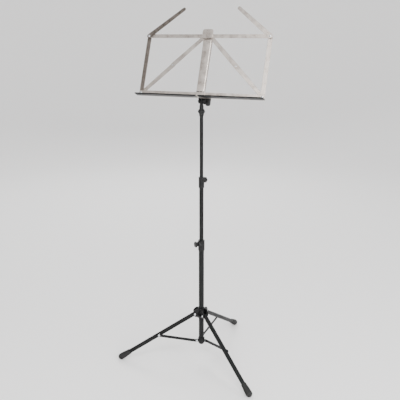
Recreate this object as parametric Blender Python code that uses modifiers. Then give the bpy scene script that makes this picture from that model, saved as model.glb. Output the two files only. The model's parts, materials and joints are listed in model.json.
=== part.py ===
"""A folding sheet-music stand: three telescopic tubes on a folding tripod, and a folding desk of flat strips.

Metres, +Z up. The player stands on the -Y side, and +X is to the player's right. The origin lies on the
floor, in the middle of the stand's footprint. Every body that moves hangs from an empty on its joint's axis.
"""

import math

import bmesh
import bpy
from mathutils import Matrix, Vector

# ---------------------------------------------------------------- fits
GAP = 0.0003  # between pieces that touch
PIN_PLAY = 0.0003  # round a pin in its hole
SLIDE_PLAY = 0.0004  # round a tube in its bush

# ---------------------------------------------------------------- tubes
BASE_RADIUS = 0.010
MIDDLE_RADIUS = 0.008
UPPER_RADIUS = 0.0065
TUBE_WALL = 0.0011
BASE_BOTTOM = 0.066
BASE_TOP = 0.466
MIDDLE_TOP = 0.708
MIDDLE_LENGTH = 0.415
UPPER_TOP = 0.968
UPPER_LENGTH = 0.430
END_CAP_FLANGE = 0.003
END_CAP_PLUG = 0.012
END_CAP_CHAMFER = 0.0015
END_SCREW_HEAD_RADIUS = 0.0050
END_SCREW_HEAD = 0.0022

# ---------------------------------------------------------------- clamp collars
COLLAR_HEIGHT = 0.040
COLLAR_WALL = 0.0024
COLLAR_OVERLAP = 0.015  # how much of the lower tube's top a collar grips
COLLAR_CHAMFER = 0.001
BUSH_LENGTH = 0.020
GUIDE_WALL = 0.0015
GUIDE_PLUG = 0.010
GUIDE_FLANGE = 0.005
CLAMP_HEIGHT = 0.0105  # the screw's axis above the lower tube's top
BOSS_RADIUS = 0.0080
BOSS_LENGTH = 0.0030
CLAMP_SCREW_RADIUS = 0.003
KNOB_RADIUS = 0.0112
KNOB_LENGTH = 0.0115
KNOB_LOBES = 6
KNOB_LOBE_DEPTH = 0.14  # as a share of the knob's radius
KNOB_GRIP = 0.72  # as a share of the knob's length; the rest is its neck
KNOB_NECK = 0.68  # as a share of the knob's radius
LOWER_KNOB_AZIMUTH = 227.0
UPPER_KNOB_AZIMUTH = 77.0

# ---------------------------------------------------------------- tripod
LEG_AZIMUTHS = {"left": 204.0, "right": 324.0, "rear": 84.0}
LEG_RADIUS = 0.0080
LEG_WALL = 0.0011
LEG_PIVOT_REACH = 0.025
LEG_PIVOT_HEIGHT = 0.1915
LEG_NOSE = 0.024  # solid end round the pivot pin
LEG_NOSE_OVERHANG = 0.006
FOOT_REACH = 0.314  # from the tubes' axis to the middle of a foot's round end
FOOT_RADIUS = 0.0122
FOOT_LENGTH = 0.052
FOOT_MOUTH_WALL = 0.0016
FOOT_SOLID = 0.0045  # from the middle of the round end to the bottom of the bore
FOOT_FLAT = 0.0006  # worn off the round end, where it rests on the floor
HUB_WALL = 0.0028
HUB_HEIGHT = 0.042
HUB_BELOW_PIVOT = 0.018
HUB_EAR = 0.0035
HUB_EAR_CENTRE = (0.0130, 0.0045)  # of the ears' round edge, from the axis and from the pivot
HUB_EAR_RADIUS = 0.0185
HUB_EAR_START = -55.0  # degrees from level, where the round edge starts below
LEG_PIN_RADIUS = 0.0028
HUB_SCREW_AZIMUTH = 264.0
HUB_BOSS_RADIUS = 0.0050
HUB_BOSS_CLEAR = 0.0004  # between the screw's neck and the ears beside it
HUB_SCREW_DROP = 0.003  # below the legs' pivots
HUB_KNOB_RADIUS = 0.0062
HUB_KNOB_LENGTH = 0.010
HUB_EAR_ROOT = 0.0075  # where the ears start, inside the hub's wall
BRACE_WIDTH = 0.0110
BRACE_THICKNESS = 0.0025
BRACE_PIVOT_REACH = 0.018
BRACE_PIVOT_HEIGHT = 0.079
BRACE_ON_LEG = 0.165  # from the leg's pivot to the brace's rivet, along the leg
BRACE_COLLAR_WALL = 0.0030
BRACE_COLLAR_HEIGHT = 0.018
BRACE_EAR = 0.0035
BRACE_PIN_RADIUS = 0.0022
RIVET_RADIUS = 0.0022
RIVET_HEAD_RADIUS = 0.0042
RIVET_HEAD = 0.0016
RIVET_TAIL = 0.0008  # a peened tail behind the last layer
RIVET_TAIL_RADIUS = 0.0034

# ---------------------------------------------------------------- head
TILT_HEIGHT = 1.0065
SOCKET_BELOW_TOP = 0.014
SOCKET_HEIGHT = 0.037
SOCKET_RADIUS = 0.0128
SOCKET_END_WALL = 0.0015
SOCKET_TOP_RADIUS = 0.0075
SOCKET_WAIST = 0.0160  # from its bottom to the middle of its widest band
SOCKET_RIM = 0.0020  # half the widest band's height
SOCKET_FLARE = 0.0090  # from the middle of the widest band to where it is slim again
STEM_RADIUS = 0.0049
STEM_IN_TUBE = 0.040
NECK_RADIUS = 0.0065
NECK_HEIGHT = 0.004
LUG_WIDTH = 0.007
LUG_RADIUS = 0.0095
FORK_CHEEK = 0.0030
FORK_BOSS = 0.0028  # proud of each cheek, round the bolt
FORK_BOSS_RADIUS = 0.0090
FORK_PLATE_HEIGHT = 0.030
FORK_PLATE_MARGIN = 0.0002
FORK_SHOULDER = 0.010
TILT_BOLT_RADIUS = 0.0030
TILT_BOLT_HEAD_RADIUS = 0.0055
TILT_BOLT_HEAD = 0.0040
TILT_KNOB_HUB_RADIUS = 0.0118
TILT_KNOB_HUB = 0.0080
TILT_WING_LENGTH = 0.034
TILT_WING_WIDTH = 0.020
TILT_WING_THICKNESS = 0.0150

# ---------------------------------------------------------------- desk
DESK_TILT = 22.0
DESK_FORWARD = 0.0284  # from the tilt axis to the ledge strips, square to the desk
LEDGE_RISE = 0.014  # from the tilt axis to the ledge pivots, along the desk
DESK_HEIGHT = 0.211  # between the lower and the upper pivots
DESK_HALF_WIDTH = 0.226  # from the middle to the corner pivots
CENTRE_PIVOT = 0.010  # from the middle to the inner pivots
STRIP_WIDTH = 0.0135
STRUT_WIDTH = 0.0155
STRIP_THICKNESS = 0.0020
LAYER = STRIP_THICKNESS + GAP
STAY_EYE_WIDTH = 0.0160
LEDGE_ABOVE = 0.0085  # of the ledge strip, above its pivots
LEDGE_BELOW = 0.0115
LEDGE_ROOT_SLOPE = 0.0020
ARM_LENGTH = 0.158
ARM_ANGLE = 39.0  # above the top strip
ARM_ROOT_WIDTH = 0.0170
ARM_TIP_WIDTH = 0.0120
SHELF_DEPTH = 0.0240
SHELF_THICKNESS = 0.0018
SHELF_LIP = 0.0025
SHELF_LIP_LEAN = 0.0002  # forwards, over the lip's height
SHELF_OVERHANG = 0.012  # beyond the corner pivot
SHELF_START = 0.0215
SHELF_TONGUE_START = 0.003  # from the middle to the tongue that runs on in front of the bracket
POST_BOTTOM_WIDTH = 0.030
POST_TOP_WIDTH = 0.033
POST_DEPTH = 0.010
POST_WALL = 0.0012
POST_FOOT = 0.0085  # below the lower pivots
POST_HEAD = 0.0120  # above the upper pivots
CAP_WIDTH = 0.040
CAP_BELOW = 0.009
CAP_ABOVE = 0.025
CAP_THICKNESS = 0.0020
CAP_CORNER = 0.008
SPINE_WIDTH = 0.005
BRACKET_WIDTH = 0.040
BRACKET_CORNER = 0.002
PEEN_RADIUS = 0.0027

# ---------------------------------------------------------------- finishes
STEEL = "black_coated_steel"
PLASTIC = "black_moulded_plastic"
RUBBER = "black_rubber"
BUSH = "natural_acetal"
NICKEL = "nickel_plated_steel"
FINISHES = (  # name, colour, roughness, metallic
    (STEEL, "17181A", 0.32, 0.0),
    (PLASTIC, "1B1B1C", 0.5, 0.0),
    (RUBBER, "1E1E1E", 0.7, 0.0),
    (BUSH, "E6E2D6", 0.45, 0.0),
    (NICKEL, "C9C4BE", 0.28, 1.0),
)

# ---------------------------------------------------------------- mesh fineness
TUBE_STEPS = 24
KNOB_STEPS = 24
PIN_STEPS = 12
BOSS_STEPS = 16
ARC_STEPS = 6
CUT_MARGIN = 0.004
MERGE = 0.00001

LAYERS = {"arm": 1, "strip": 0, "strut": -1, "stay_inner": -1, "stay_outer": -2, "post": -2}


# ---------------------------------------------------------------- scene and materials
def clear_scene():
    for obj in list(bpy.data.objects):
        bpy.data.objects.remove(obj)
    for name in ("music_stand", "cutters"):
        collection = bpy.data.collections.new(name)
        bpy.context.scene.collection.children.link(collection)
    bpy.data.collections["cutters"].hide_render = True


def linear(channel):
    return channel / 12.92 if channel <= 0.04045 else ((channel + 0.055) / 1.055) ** 2.4


def material(name, sheet_colour, roughness, metallic):
    made = bpy.data.materials.new(name)
    made.use_nodes = True
    shader = made.node_tree.nodes["Principled BSDF"]
    channels = [linear(int(sheet_colour[i : i + 2], 16) / 255) for i in (0, 2, 4)]
    shader.inputs["Base Color"].default_value = (*channels, 1.0)
    shader.inputs["Roughness"].default_value = roughness
    shader.inputs["Metallic"].default_value = metallic
    made.diffuse_color = (*channels, 1.0)
    return made


def axis(name, parent=None, location=(0, 0, 0), rotation=(0, 0, 0)):
    """An empty on a joint's axis. The rotation is in degrees."""
    empty = bpy.data.objects.new(name, None)
    empty.empty_display_size = 0.02
    bpy.data.collections["music_stand"].objects.link(empty)
    empty.parent = parent
    empty.location = location
    empty.rotation_euler = [math.radians(angle) for angle in rotation]
    return empty


def piece(name, mesh, finish, parent, location=(0, 0, 0), rotation=(0, 0, 0), cutter=False):
    """A mesh placed on its axis. The rotation is in degrees."""
    obj = bpy.data.objects.new(name, mesh)
    bpy.data.collections["cutters" if cutter else "music_stand"].objects.link(obj)
    obj.parent = parent
    obj.location = location
    obj.rotation_euler = [math.radians(angle) for angle in rotation]
    if cutter:
        obj.hide_render = True
        obj.display_type = "WIRE"
        return obj
    if not mesh.materials:
        mesh.materials.append(bpy.data.materials[finish])
    mesh.shade_smooth()
    mesh.set_sharp_from_angle(angle=math.radians(35))
    return obj


# ---------------------------------------------------------------- shapes
def arc(centre, radius, start, end, steps=ARC_STEPS):
    """Points round part of a circle, angles in degrees."""
    turn = [math.radians(start + (end - start) * i / steps) for i in range(steps + 1)]
    return [(centre[0] + radius * math.cos(t), centre[1] + radius * math.sin(t)) for t in turn]


def circle(centre, radius, steps=PIN_STEPS):
    return arc(centre, radius, 0, 360, steps)[:-1]


def bar_outline(length, start_width, end_width):
    """A bar from (0, 0) to (length, 0) with round ends."""
    start = arc((0, 0), start_width / 2, 90, 270)
    end = arc((length, 0), end_width / 2, -90, 90)
    return start + end


def rounded_rectangle(low, high, radius):
    """Low and high are opposite corners."""
    corners = ((high[0], high[1], 0), (low[0], high[1], 90), (low[0], low[1], 180), (high[0], low[1], 270))
    points = []
    for x, y, start in corners:
        inward = (x - math.copysign(radius, x - (low[0] + high[0]) / 2),
                  y - math.copysign(radius, y - (low[1] + high[1]) / 2))
        points += arc(inward, radius, start, start + 90, 4)
    return points


def plate_mesh(name, loops, thickness, middle=0.0):
    """A flat plate: the first loop is its outline and the rest are holes. Middle is its mid-plane's height."""
    curve = bpy.data.curves.new(name, "CURVE")
    curve.dimensions = "2D"
    curve.fill_mode = "BOTH"
    curve.extrude = thickness / 2
    for loop in loops:
        spline = curve.splines.new("POLY")
        spline.points.add(len(loop) - 1)
        for point, (x, y) in zip(spline.points, loop):
            point.co = (x, y, 0, 1)
        spline.use_cyclic_u = True
    holder = bpy.data.objects.new(name, curve)
    bpy.context.scene.collection.objects.link(holder)
    graph = bpy.context.evaluated_depsgraph_get()
    mesh = bpy.data.meshes.new_from_object(holder.evaluated_get(graph))
    bpy.data.objects.remove(holder)
    mesh.name = name
    tidy(mesh, lift=middle)
    return mesh


def tidy(mesh, lift=0.0):
    """Welds a mesh's doubles, turns its faces outwards and lifts it along Z."""
    work = bmesh.new()
    work.from_mesh(mesh)
    bmesh.ops.remove_doubles(work, verts=work.verts, dist=MERGE)
    bmesh.ops.recalc_face_normals(work, faces=work.faces)
    bmesh.ops.translate(work, verts=work.verts, vec=(0, 0, lift))
    work.to_mesh(mesh)
    work.free()


def box_mesh(name, low, high):
    work = bmesh.new()
    size = [h - l for l, h in zip(low, high)]
    middle = [(h + l) / 2 for l, h in zip(low, high)]
    place = Matrix.Translation(middle) @ Matrix.Diagonal((*size, 1))
    bmesh.ops.create_cube(work, size=1, matrix=place)
    mesh = bpy.data.meshes.new(name)
    work.to_mesh(mesh)
    work.free()
    return mesh


def rod_mesh(name, radius, bottom, top, steps=PIN_STEPS):
    """A cylinder along Z."""
    work = bmesh.new()
    place = Matrix.Translation((0, 0, (bottom + top) / 2))
    bmesh.ops.create_cone(
        work, cap_ends=True, segments=steps, radius1=radius, radius2=radius, depth=top - bottom, matrix=place
    )
    mesh = bpy.data.meshes.new(name)
    work.to_mesh(mesh)
    work.free()
    return mesh


def turned_mesh(name, profile, steps=TUBE_STEPS, ring=False):
    """A profile of (radius, height) points turned round Z. It runs from top to bottom, and a ring closes on itself."""
    mesh = bpy.data.meshes.new(name)
    points = [(radius, 0, height) for radius, height in profile]
    edges = [(i, i + 1) for i in range(len(points) - 1)]
    if ring:
        edges.append((len(points) - 1, 0))
    mesh.from_pydata(points, edges, [])
    holder = bpy.data.objects.new(name, mesh)
    bpy.context.scene.collection.objects.link(holder)
    screw = holder.modifiers.new("turn", "SCREW")
    screw.steps = steps
    screw.render_steps = steps
    screw.use_merge_vertices = True
    screw.merge_threshold = MERGE
    graph = bpy.context.evaluated_depsgraph_get()
    made = bpy.data.meshes.new_from_object(holder.evaluated_get(graph))
    bpy.data.objects.remove(holder)
    made.name = name
    tidy(made)
    return made


def tube_mesh(name, radius, bore, bottom, top, steps=TUBE_STEPS):
    return turned_mesh(name, [(radius, top), (radius, bottom), (bore, bottom), (bore, top)], steps, ring=True)


def rivet_profile(shank_end, head_start, shank=RIVET_RADIUS, head=RIVET_HEAD_RADIUS, rise=RIVET_HEAD):
    """A domed head above head_start and a plain shank down to shank_end."""
    dome = [(head * math.cos(t), head_start + rise * math.sin(t)) for t in (1.571, 1.1, 0.7, 0.3)]
    return [(0, dome[0][1])] + dome[1:] + [(head, head_start), (shank, head_start), (shank, shank_end), (0, shank_end)]


def lobed_outline(radius, depth, lobes, steps):
    """A circle whose radius dips by depth between its lobes."""
    turn = [2 * math.pi * i / steps for i in range(steps)]
    return [((radius - depth * (1 - math.cos(lobes * t)) / 2) * math.cos(t),
             (radius - depth * (1 - math.cos(lobes * t)) / 2) * math.sin(t)) for t in turn]


def combine(target, tool, operation):
    """Adds a Boolean that joins the tool to the target or cuts it away."""
    bpy.context.view_layer.update()
    boolean = target.modifiers.new(operation.lower(), "BOOLEAN")
    boolean.operation = operation
    boolean.object = tool
    boolean.solver = "EXACT"


# ---------------------------------------------------------------- tubes and collars
def clamp_collar(name, parent, lower_radius, inner_radius, lower_top, azimuth):
    """The collar on a tube's top. Its upper bore clears the tube that slides, and its boss takes the screw."""
    bottom = lower_top - COLLAR_OVERLAP
    top = bottom + COLLAR_HEIGHT
    outer = lower_radius + COLLAR_WALL
    seat = lower_radius + GAP
    bore = inner_radius + SLIDE_PLAY
    step = lower_top + GAP
    profile = [
        (outer - COLLAR_CHAMFER, top),
        (outer, top - COLLAR_CHAMFER),
        (outer, bottom + COLLAR_CHAMFER),
        (outer - COLLAR_CHAMFER, bottom),
        (seat, bottom),
        (seat, step),
        (bore, step),
        (bore, top),
    ]
    collar = piece(name, turned_mesh(name, profile, ring=True), PLASTIC, parent)
    height = lower_top + CLAMP_HEIGHT
    turn = (0, 90, azimuth)
    inside = (inner_radius + lower_radius) / 2
    boss = piece(name + "_boss", rod_mesh(name, BOSS_RADIUS, inside + GAP, outer + BOSS_LENGTH, BOSS_STEPS), None, parent,
                 (0, 0, height), turn, cutter=True)
    drill = piece(name + "_drill", rod_mesh(name, CLAMP_SCREW_RADIUS + PIN_PLAY, 0, outer + BOSS_LENGTH + CUT_MARGIN),
                  None, parent, (0, 0, height), turn, cutter=True)
    bore_cut = piece(name + "_bore", rod_mesh(name, bore, lower_top + GAP, top + CUT_MARGIN, TUBE_STEPS), None, parent,
                     cutter=True)
    combine(collar, boss, "UNION")
    combine(collar, bore_cut, "DIFFERENCE")
    combine(collar, drill, "DIFFERENCE")
    return height, outer


def clamp_knob(name, parent, height, tip, shoulder, azimuth, radius, length):
    """A lobed grip moulded on its screw, which runs along the knob's own Z."""
    turning = axis(name + "_axis", parent, (0, 0, height), (0, 90, azimuth))
    outline = lobed_outline(radius, radius * KNOB_LOBE_DEPTH, KNOB_LOBES, KNOB_STEPS)
    grip_middle = shoulder + GAP + length * (1 - KNOB_GRIP / 2)
    knob = piece(name, plate_mesh(name, [outline], length * KNOB_GRIP, grip_middle), PLASTIC, turning)
    screw = piece(name + "_screw", rod_mesh(name, CLAMP_SCREW_RADIUS, tip, grip_middle), None, turning, cutter=True)
    neck = piece(name + "_neck", rod_mesh(name, radius * KNOB_NECK, shoulder + GAP, grip_middle, BOSS_STEPS), None,
                 turning, cutter=True)
    combine(knob, neck, "UNION")
    combine(knob, screw, "UNION")
    return turning


def build_guide(middle, bore):
    """The ring plugged in the middle tube's lower end, which keeps it central in the base tube."""
    bottom = MIDDLE_TOP - MIDDLE_LENGTH
    flange = BASE_RADIUS - TUBE_WALL - SLIDE_PLAY
    hole = bore - GUIDE_WALL
    profile = [
        (bore - GAP, bottom + GUIDE_PLUG),
        (bore - GAP, bottom - GAP),
        (flange, bottom - GAP),
        (flange, bottom - GAP - GUIDE_FLANGE),
        (hole, bottom - GAP - GUIDE_FLANGE),
        (hole, bottom + GUIDE_PLUG),
    ]
    piece("middle_tube_guide", turned_mesh("middle_tube_guide", profile, ring=True), BUSH, middle)


def build_tubes(stand):
    bore = BASE_RADIUS - TUBE_WALL
    piece("base_tube", tube_mesh("base_tube", BASE_RADIUS, bore, BASE_BOTTOM, BASE_TOP), STEEL, stand)
    cap_bore = CLAMP_SCREW_RADIUS + PIN_PLAY
    cap = [
        (bore - GAP, BASE_BOTTOM + END_CAP_PLUG),
        (bore - GAP, BASE_BOTTOM - GAP),
        (BASE_RADIUS, BASE_BOTTOM - GAP),
        (BASE_RADIUS - END_CAP_CHAMFER, BASE_BOTTOM - GAP - END_CAP_FLANGE),
        (cap_bore, BASE_BOTTOM - GAP - END_CAP_FLANGE),
        (cap_bore, BASE_BOTTOM + END_CAP_PLUG),
    ]
    piece("base_end_cap", turned_mesh("base_end_cap", cap, ring=True), PLASTIC, stand)
    seat = BASE_BOTTOM - 2 * GAP - END_CAP_FLANGE
    screw = rivet_profile(-END_CAP_PLUG, 0, CLAMP_SCREW_RADIUS, END_SCREW_HEAD_RADIUS, END_SCREW_HEAD)
    piece("end_cap_screw", turned_mesh("end_cap_screw", screw, PIN_STEPS), NICKEL, stand, (0, 0, seat), (180, 0, 0))
    piece("lower_bush", tube_mesh("lower_bush", bore - GAP, MIDDLE_RADIUS + GAP, BASE_TOP - BUSH_LENGTH, BASE_TOP),
          BUSH, stand)
    height, outer = clamp_collar("lower_collar", stand, BASE_RADIUS, MIDDLE_RADIUS, BASE_TOP, LOWER_KNOB_AZIMUTH)
    tip = MIDDLE_RADIUS + GAP
    clamp_knob("lower_knob", stand, height, tip, outer + BOSS_LENGTH, LOWER_KNOB_AZIMUTH, KNOB_RADIUS, KNOB_LENGTH)

    middle = axis("middle_slide", stand)
    bore = MIDDLE_RADIUS - TUBE_WALL
    piece("middle_tube", tube_mesh("middle_tube", MIDDLE_RADIUS, bore, MIDDLE_TOP - MIDDLE_LENGTH, MIDDLE_TOP), STEEL,
          middle)
    build_guide(middle, bore)
    height, outer = clamp_collar("upper_collar", middle, MIDDLE_RADIUS, UPPER_RADIUS, MIDDLE_TOP, UPPER_KNOB_AZIMUTH)
    tip = UPPER_RADIUS + GAP
    clamp_knob("upper_knob", middle, height, tip, outer + BOSS_LENGTH, UPPER_KNOB_AZIMUTH, KNOB_RADIUS, KNOB_LENGTH)

    upper = axis("upper_slide", middle)
    bore = UPPER_RADIUS - TUBE_WALL
    piece("upper_tube", tube_mesh("upper_tube", UPPER_RADIUS, bore, UPPER_TOP - UPPER_LENGTH, UPPER_TOP), STEEL, upper)
    bottom = UPPER_TOP - SOCKET_BELOW_TOP
    top = bottom + SOCKET_HEIGHT
    seat = UPPER_RADIUS + GAP
    stem_bore = STEM_RADIUS + GAP
    middle_height = bottom + SOCKET_WAIST
    socket = [
        (SOCKET_TOP_RADIUS, top),
        (SOCKET_TOP_RADIUS, middle_height + SOCKET_FLARE),
        (SOCKET_RADIUS, middle_height + SOCKET_RIM),
        (SOCKET_RADIUS, middle_height - SOCKET_RIM),
        (seat + SOCKET_END_WALL, middle_height - SOCKET_FLARE),
        (seat + SOCKET_END_WALL, bottom),
        (seat, bottom),
        (seat, UPPER_TOP + GAP),
        (stem_bore, UPPER_TOP + GAP),
        (stem_bore, top),
    ]
    piece("top_socket", turned_mesh("top_socket", socket, ring=True), PLASTIC, upper)
    return upper, top


# ---------------------------------------------------------------- tripod
def leg_slope():
    """The leg's angle from straight down, in degrees, and its length from the pivot to the foot's round end."""
    out = FOOT_REACH - LEG_PIVOT_REACH
    down = LEG_PIVOT_HEIGHT - (FOOT_RADIUS - FOOT_FLAT)
    return math.degrees(math.atan2(out, down)), math.hypot(out, down)


def brace_line():
    """The brace's angle above level, in degrees, and its length from pin to rivet."""
    slope, _ = leg_slope()
    out = LEG_PIVOT_REACH + BRACE_ON_LEG * math.sin(math.radians(slope)) - BRACE_PIVOT_REACH
    up = LEG_PIVOT_HEIGHT - BRACE_ON_LEG * math.cos(math.radians(slope)) - BRACE_PIVOT_HEIGHT
    return math.degrees(math.atan2(up, out)), math.hypot(out, up)


def build_hub(stand):
    slide = axis("hub_slide", stand)
    bottom = LEG_PIVOT_HEIGHT - HUB_BELOW_PIVOT
    bore = BASE_RADIUS + SLIDE_PLAY
    outer = BASE_RADIUS + HUB_WALL
    profile = [(outer - COLLAR_CHAMFER, bottom + HUB_HEIGHT), (outer, bottom + HUB_HEIGHT - COLLAR_CHAMFER),
               (outer, bottom + COLLAR_CHAMFER), (outer - COLLAR_CHAMFER, bottom), (bore, bottom),
               (bore, bottom + HUB_HEIGHT)]
    hub = piece("leg_hub", turned_mesh("leg_hub", profile, ring=True), PLASTIC, slide)
    inner_face = LEG_RADIUS + GAP
    for name, azimuth in LEG_AZIMUTHS.items():
        turned = axis("hub_arm_" + name, slide, (0, 0, LEG_PIVOT_HEIGHT), (0, 0, azimuth))
        rim = arc(HUB_EAR_CENTRE, HUB_EAR_RADIUS, HUB_EAR_START, 90, 8)
        for side in (-1, 1):
            outline = [(HUB_EAR_ROOT, rim[0][1])] + rim + [(HUB_EAR_ROOT, rim[-1][1])]
            hole = circle((LEG_PIVOT_REACH, 0), LEG_PIN_RADIUS + PIN_PLAY)
            ear = plate_mesh("ear", [outline, hole], HUB_EAR, side * (inner_face + HUB_EAR / 2))
            tool = piece(f"hub_ear_{name}_{side}", ear, None, turned, (0, 0, 0), (90, 0, 0), cutter=True)
            combine(hub, tool, "UNION")
    height = LEG_PIVOT_HEIGHT - HUB_SCREW_DROP
    turn = (0, 90, HUB_SCREW_AZIMUTH)
    ear_outside = LEG_RADIUS + GAP + HUB_EAR
    neck = HUB_KNOB_RADIUS * KNOB_NECK
    # the screw points 60 degrees from the legs on both sides of it
    face = (ear_outside + neck / 2 + HUB_BOSS_CLEAR) / math.sin(math.radians(60))
    boss = piece("hub_boss", rod_mesh("hub_boss", HUB_BOSS_RADIUS, HUB_EAR_ROOT, face, BOSS_STEPS), None,
                 slide, (0, 0, height), turn, cutter=True)
    drill = piece("hub_drill", rod_mesh("hub_drill", CLAMP_SCREW_RADIUS + PIN_PLAY, 0, face + CUT_MARGIN),
                  None, slide, (0, 0, height), turn, cutter=True)
    combine(hub, boss, "UNION")
    clear = piece("hub_clear", rod_mesh("hub_clear", bore, bottom - CUT_MARGIN, bottom + HUB_HEIGHT + CUT_MARGIN,
                                        TUBE_STEPS), None, slide, cutter=True)
    combine(hub, clear, "DIFFERENCE")
    combine(hub, drill, "DIFFERENCE")
    clamp_knob("hub_knob", slide, height, BASE_RADIUS + GAP, face, HUB_SCREW_AZIMUTH, HUB_KNOB_RADIUS,
               HUB_KNOB_LENGTH)
    return slide


def foot_profile():
    """The foot's outline from its round end, at the top here, to its mouth, then back up the blind bore."""
    ball = [(FOOT_RADIUS * math.cos(math.radians(t)), FOOT_RADIUS * math.sin(math.radians(t))) for t in (72, 54, 36, 18)]
    mouth = LEG_RADIUS + GAP + FOOT_MOUTH_WALL
    bottom = FOOT_RADIUS - FOOT_LENGTH
    outer = [(0, FOOT_RADIUS)] + ball + [(FOOT_RADIUS, 0), (FOOT_RADIUS * 0.98, bottom * 0.3),
                                        (FOOT_RADIUS * 0.88, bottom * 0.62), (mouth, bottom * 0.9), (mouth, bottom)]
    bore = LEG_RADIUS + GAP
    return outer + [(bore, bottom), (bore, -FOOT_SOLID), (0, -FOOT_SOLID)]


def build_leg(stand, slide, name, azimuth, shared):
    slope, length = leg_slope()
    pivot_place = (
        LEG_PIVOT_REACH * math.cos(math.radians(azimuth)),
        LEG_PIVOT_REACH * math.sin(math.radians(azimuth)),
        LEG_PIVOT_HEIGHT,
    )
    pivot = axis("leg_pivot_" + name, slide, pivot_place, (0, 0, azimuth))
    along = (0, 180 - slope, 0)
    leg = piece("leg_" + name, shared["leg"].copy(), STEEL, pivot, (0, 0, 0), along)
    pin_drill = piece("leg_pin_drill_" + name, shared["pin_drill"], None, pivot, (0, 0, 0), (90, 0, 0), cutter=True)
    combine(leg, pin_drill, "DIFFERENCE")
    brace_at = (BRACE_ON_LEG * math.sin(math.radians(slope)), 0, -BRACE_ON_LEG * math.cos(math.radians(slope)))
    rivet_drill = piece("rivet_drill_" + name, shared["rivet_drill"], None, pivot, brace_at, (-90, 0, 0), cutter=True)
    combine(leg, rivet_drill, "DIFFERENCE")
    foot_at = (length * math.sin(math.radians(slope)), 0, -length * math.cos(math.radians(slope)))
    foot = piece("foot_" + name, shared["foot"].copy(), RUBBER, pivot, foot_at, along)
    floor = piece("foot_floor_" + name, shared["floor"], None, stand, cutter=True)
    combine(foot, floor, "DIFFERENCE")
    piece("leg_pin_" + name, shared["leg_pin"], NICKEL, pivot, (0, 0, 0), (-90, 0, 0))

    rise, span = brace_line()
    foot_of_brace = (
        BRACE_PIVOT_REACH * math.cos(math.radians(azimuth)),
        BRACE_PIVOT_REACH * math.sin(math.radians(azimuth)),
        BRACE_PIVOT_HEIGHT,
    )
    swing = axis("brace_pivot_" + name, stand, foot_of_brace, (0, 0, azimuth))
    piece("brace_" + name, shared["brace"], STEEL, swing, (0, 0, 0), (90, -rise, 0))
    piece("brace_pin_" + name, shared["brace_pin"], NICKEL, swing, (0, 0, 0), (-90, 0, 0))
    rivet_at = (span * math.cos(math.radians(rise)), 0, span * math.sin(math.radians(rise)))
    piece("brace_rivet_" + name, shared["brace_rivet"], NICKEL, swing, rivet_at, (-90, 0, 0))


def tripod_shapes():
    """The meshes that the three legs share. A leg's own Z runs from its pivot to its foot."""
    _, length = leg_slope()
    _, span = brace_line()
    end = length - FOOT_SOLID - GAP
    shoulder = LEG_RADIUS * 0.6
    leg = [
        (LEG_RADIUS, end),
        (LEG_RADIUS, shoulder - LEG_NOSE_OVERHANG),
        (LEG_RADIUS * 0.85, -LEG_NOSE_OVERHANG + shoulder * 0.35),
        (LEG_RADIUS * 0.5, -LEG_NOSE_OVERHANG),
        (0, -LEG_NOSE_OVERHANG),
    ]
    bore = LEG_RADIUS - LEG_WALL
    leg = [(bore, LEG_NOSE), (bore, end)] + leg
    leg = [(0, LEG_NOSE)] + leg
    inner_face = LEG_RADIUS + GAP
    outer_face = inner_face + HUB_EAR
    brace_near = LEG_RADIUS + GAP
    brace_far = brace_near + BRACE_THICKNESS
    brace_middle = (brace_near + brace_far) / 2
    eyes = [circle((x, 0), BRACE_PIN_RADIUS + PIN_PLAY) for x in (0, span)]
    pin_half = outer_face + GAP
    leg_pin = [(0, pin_half + RIVET_HEAD), (RIVET_HEAD_RADIUS * 0.7, pin_half + RIVET_HEAD),
               (RIVET_HEAD_RADIUS, pin_half + RIVET_HEAD * 0.5), (RIVET_HEAD_RADIUS, pin_half),
               (LEG_PIN_RADIUS, pin_half), (LEG_PIN_RADIUS, -pin_half), (RIVET_HEAD_RADIUS, -pin_half),
               (RIVET_HEAD_RADIUS, -pin_half - RIVET_HEAD * 0.5),
               (RIVET_HEAD_RADIUS * 0.7, -pin_half - RIVET_HEAD), (0, -pin_half - RIVET_HEAD)]
    ear_far = brace_near - GAP
    ear_near = ear_far - BRACE_EAR
    return {
        "leg": turned_mesh("leg", leg),
        "pin_drill": rod_mesh("pin_drill", LEG_PIN_RADIUS + PIN_PLAY, -LEG_RADIUS * 2, LEG_RADIUS * 2),
        "rivet_drill": rod_mesh("rivet_drill", RIVET_RADIUS + PIN_PLAY, LEG_RADIUS * 0.4, LEG_RADIUS * 1.5),
        "foot": turned_mesh("foot", foot_profile()),
        "floor": box_mesh("floor", (-0.6, -0.6, -0.05), (0.6, 0.6, 0)),
        "leg_pin": turned_mesh("leg_pin", leg_pin, PIN_STEPS),
        "brace": plate_mesh("brace", [bar_outline(span, BRACE_WIDTH, BRACE_WIDTH)] + eyes, BRACE_THICKNESS,
                            -brace_middle),
        "brace_pin": turned_mesh("brace_pin", rivet_profile(ear_near - RIVET_TAIL, brace_far + GAP), PIN_STEPS),
        "brace_rivet": turned_mesh("brace_rivet", rivet_profile(brace_near, brace_far + GAP), PIN_STEPS),
    }


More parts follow.
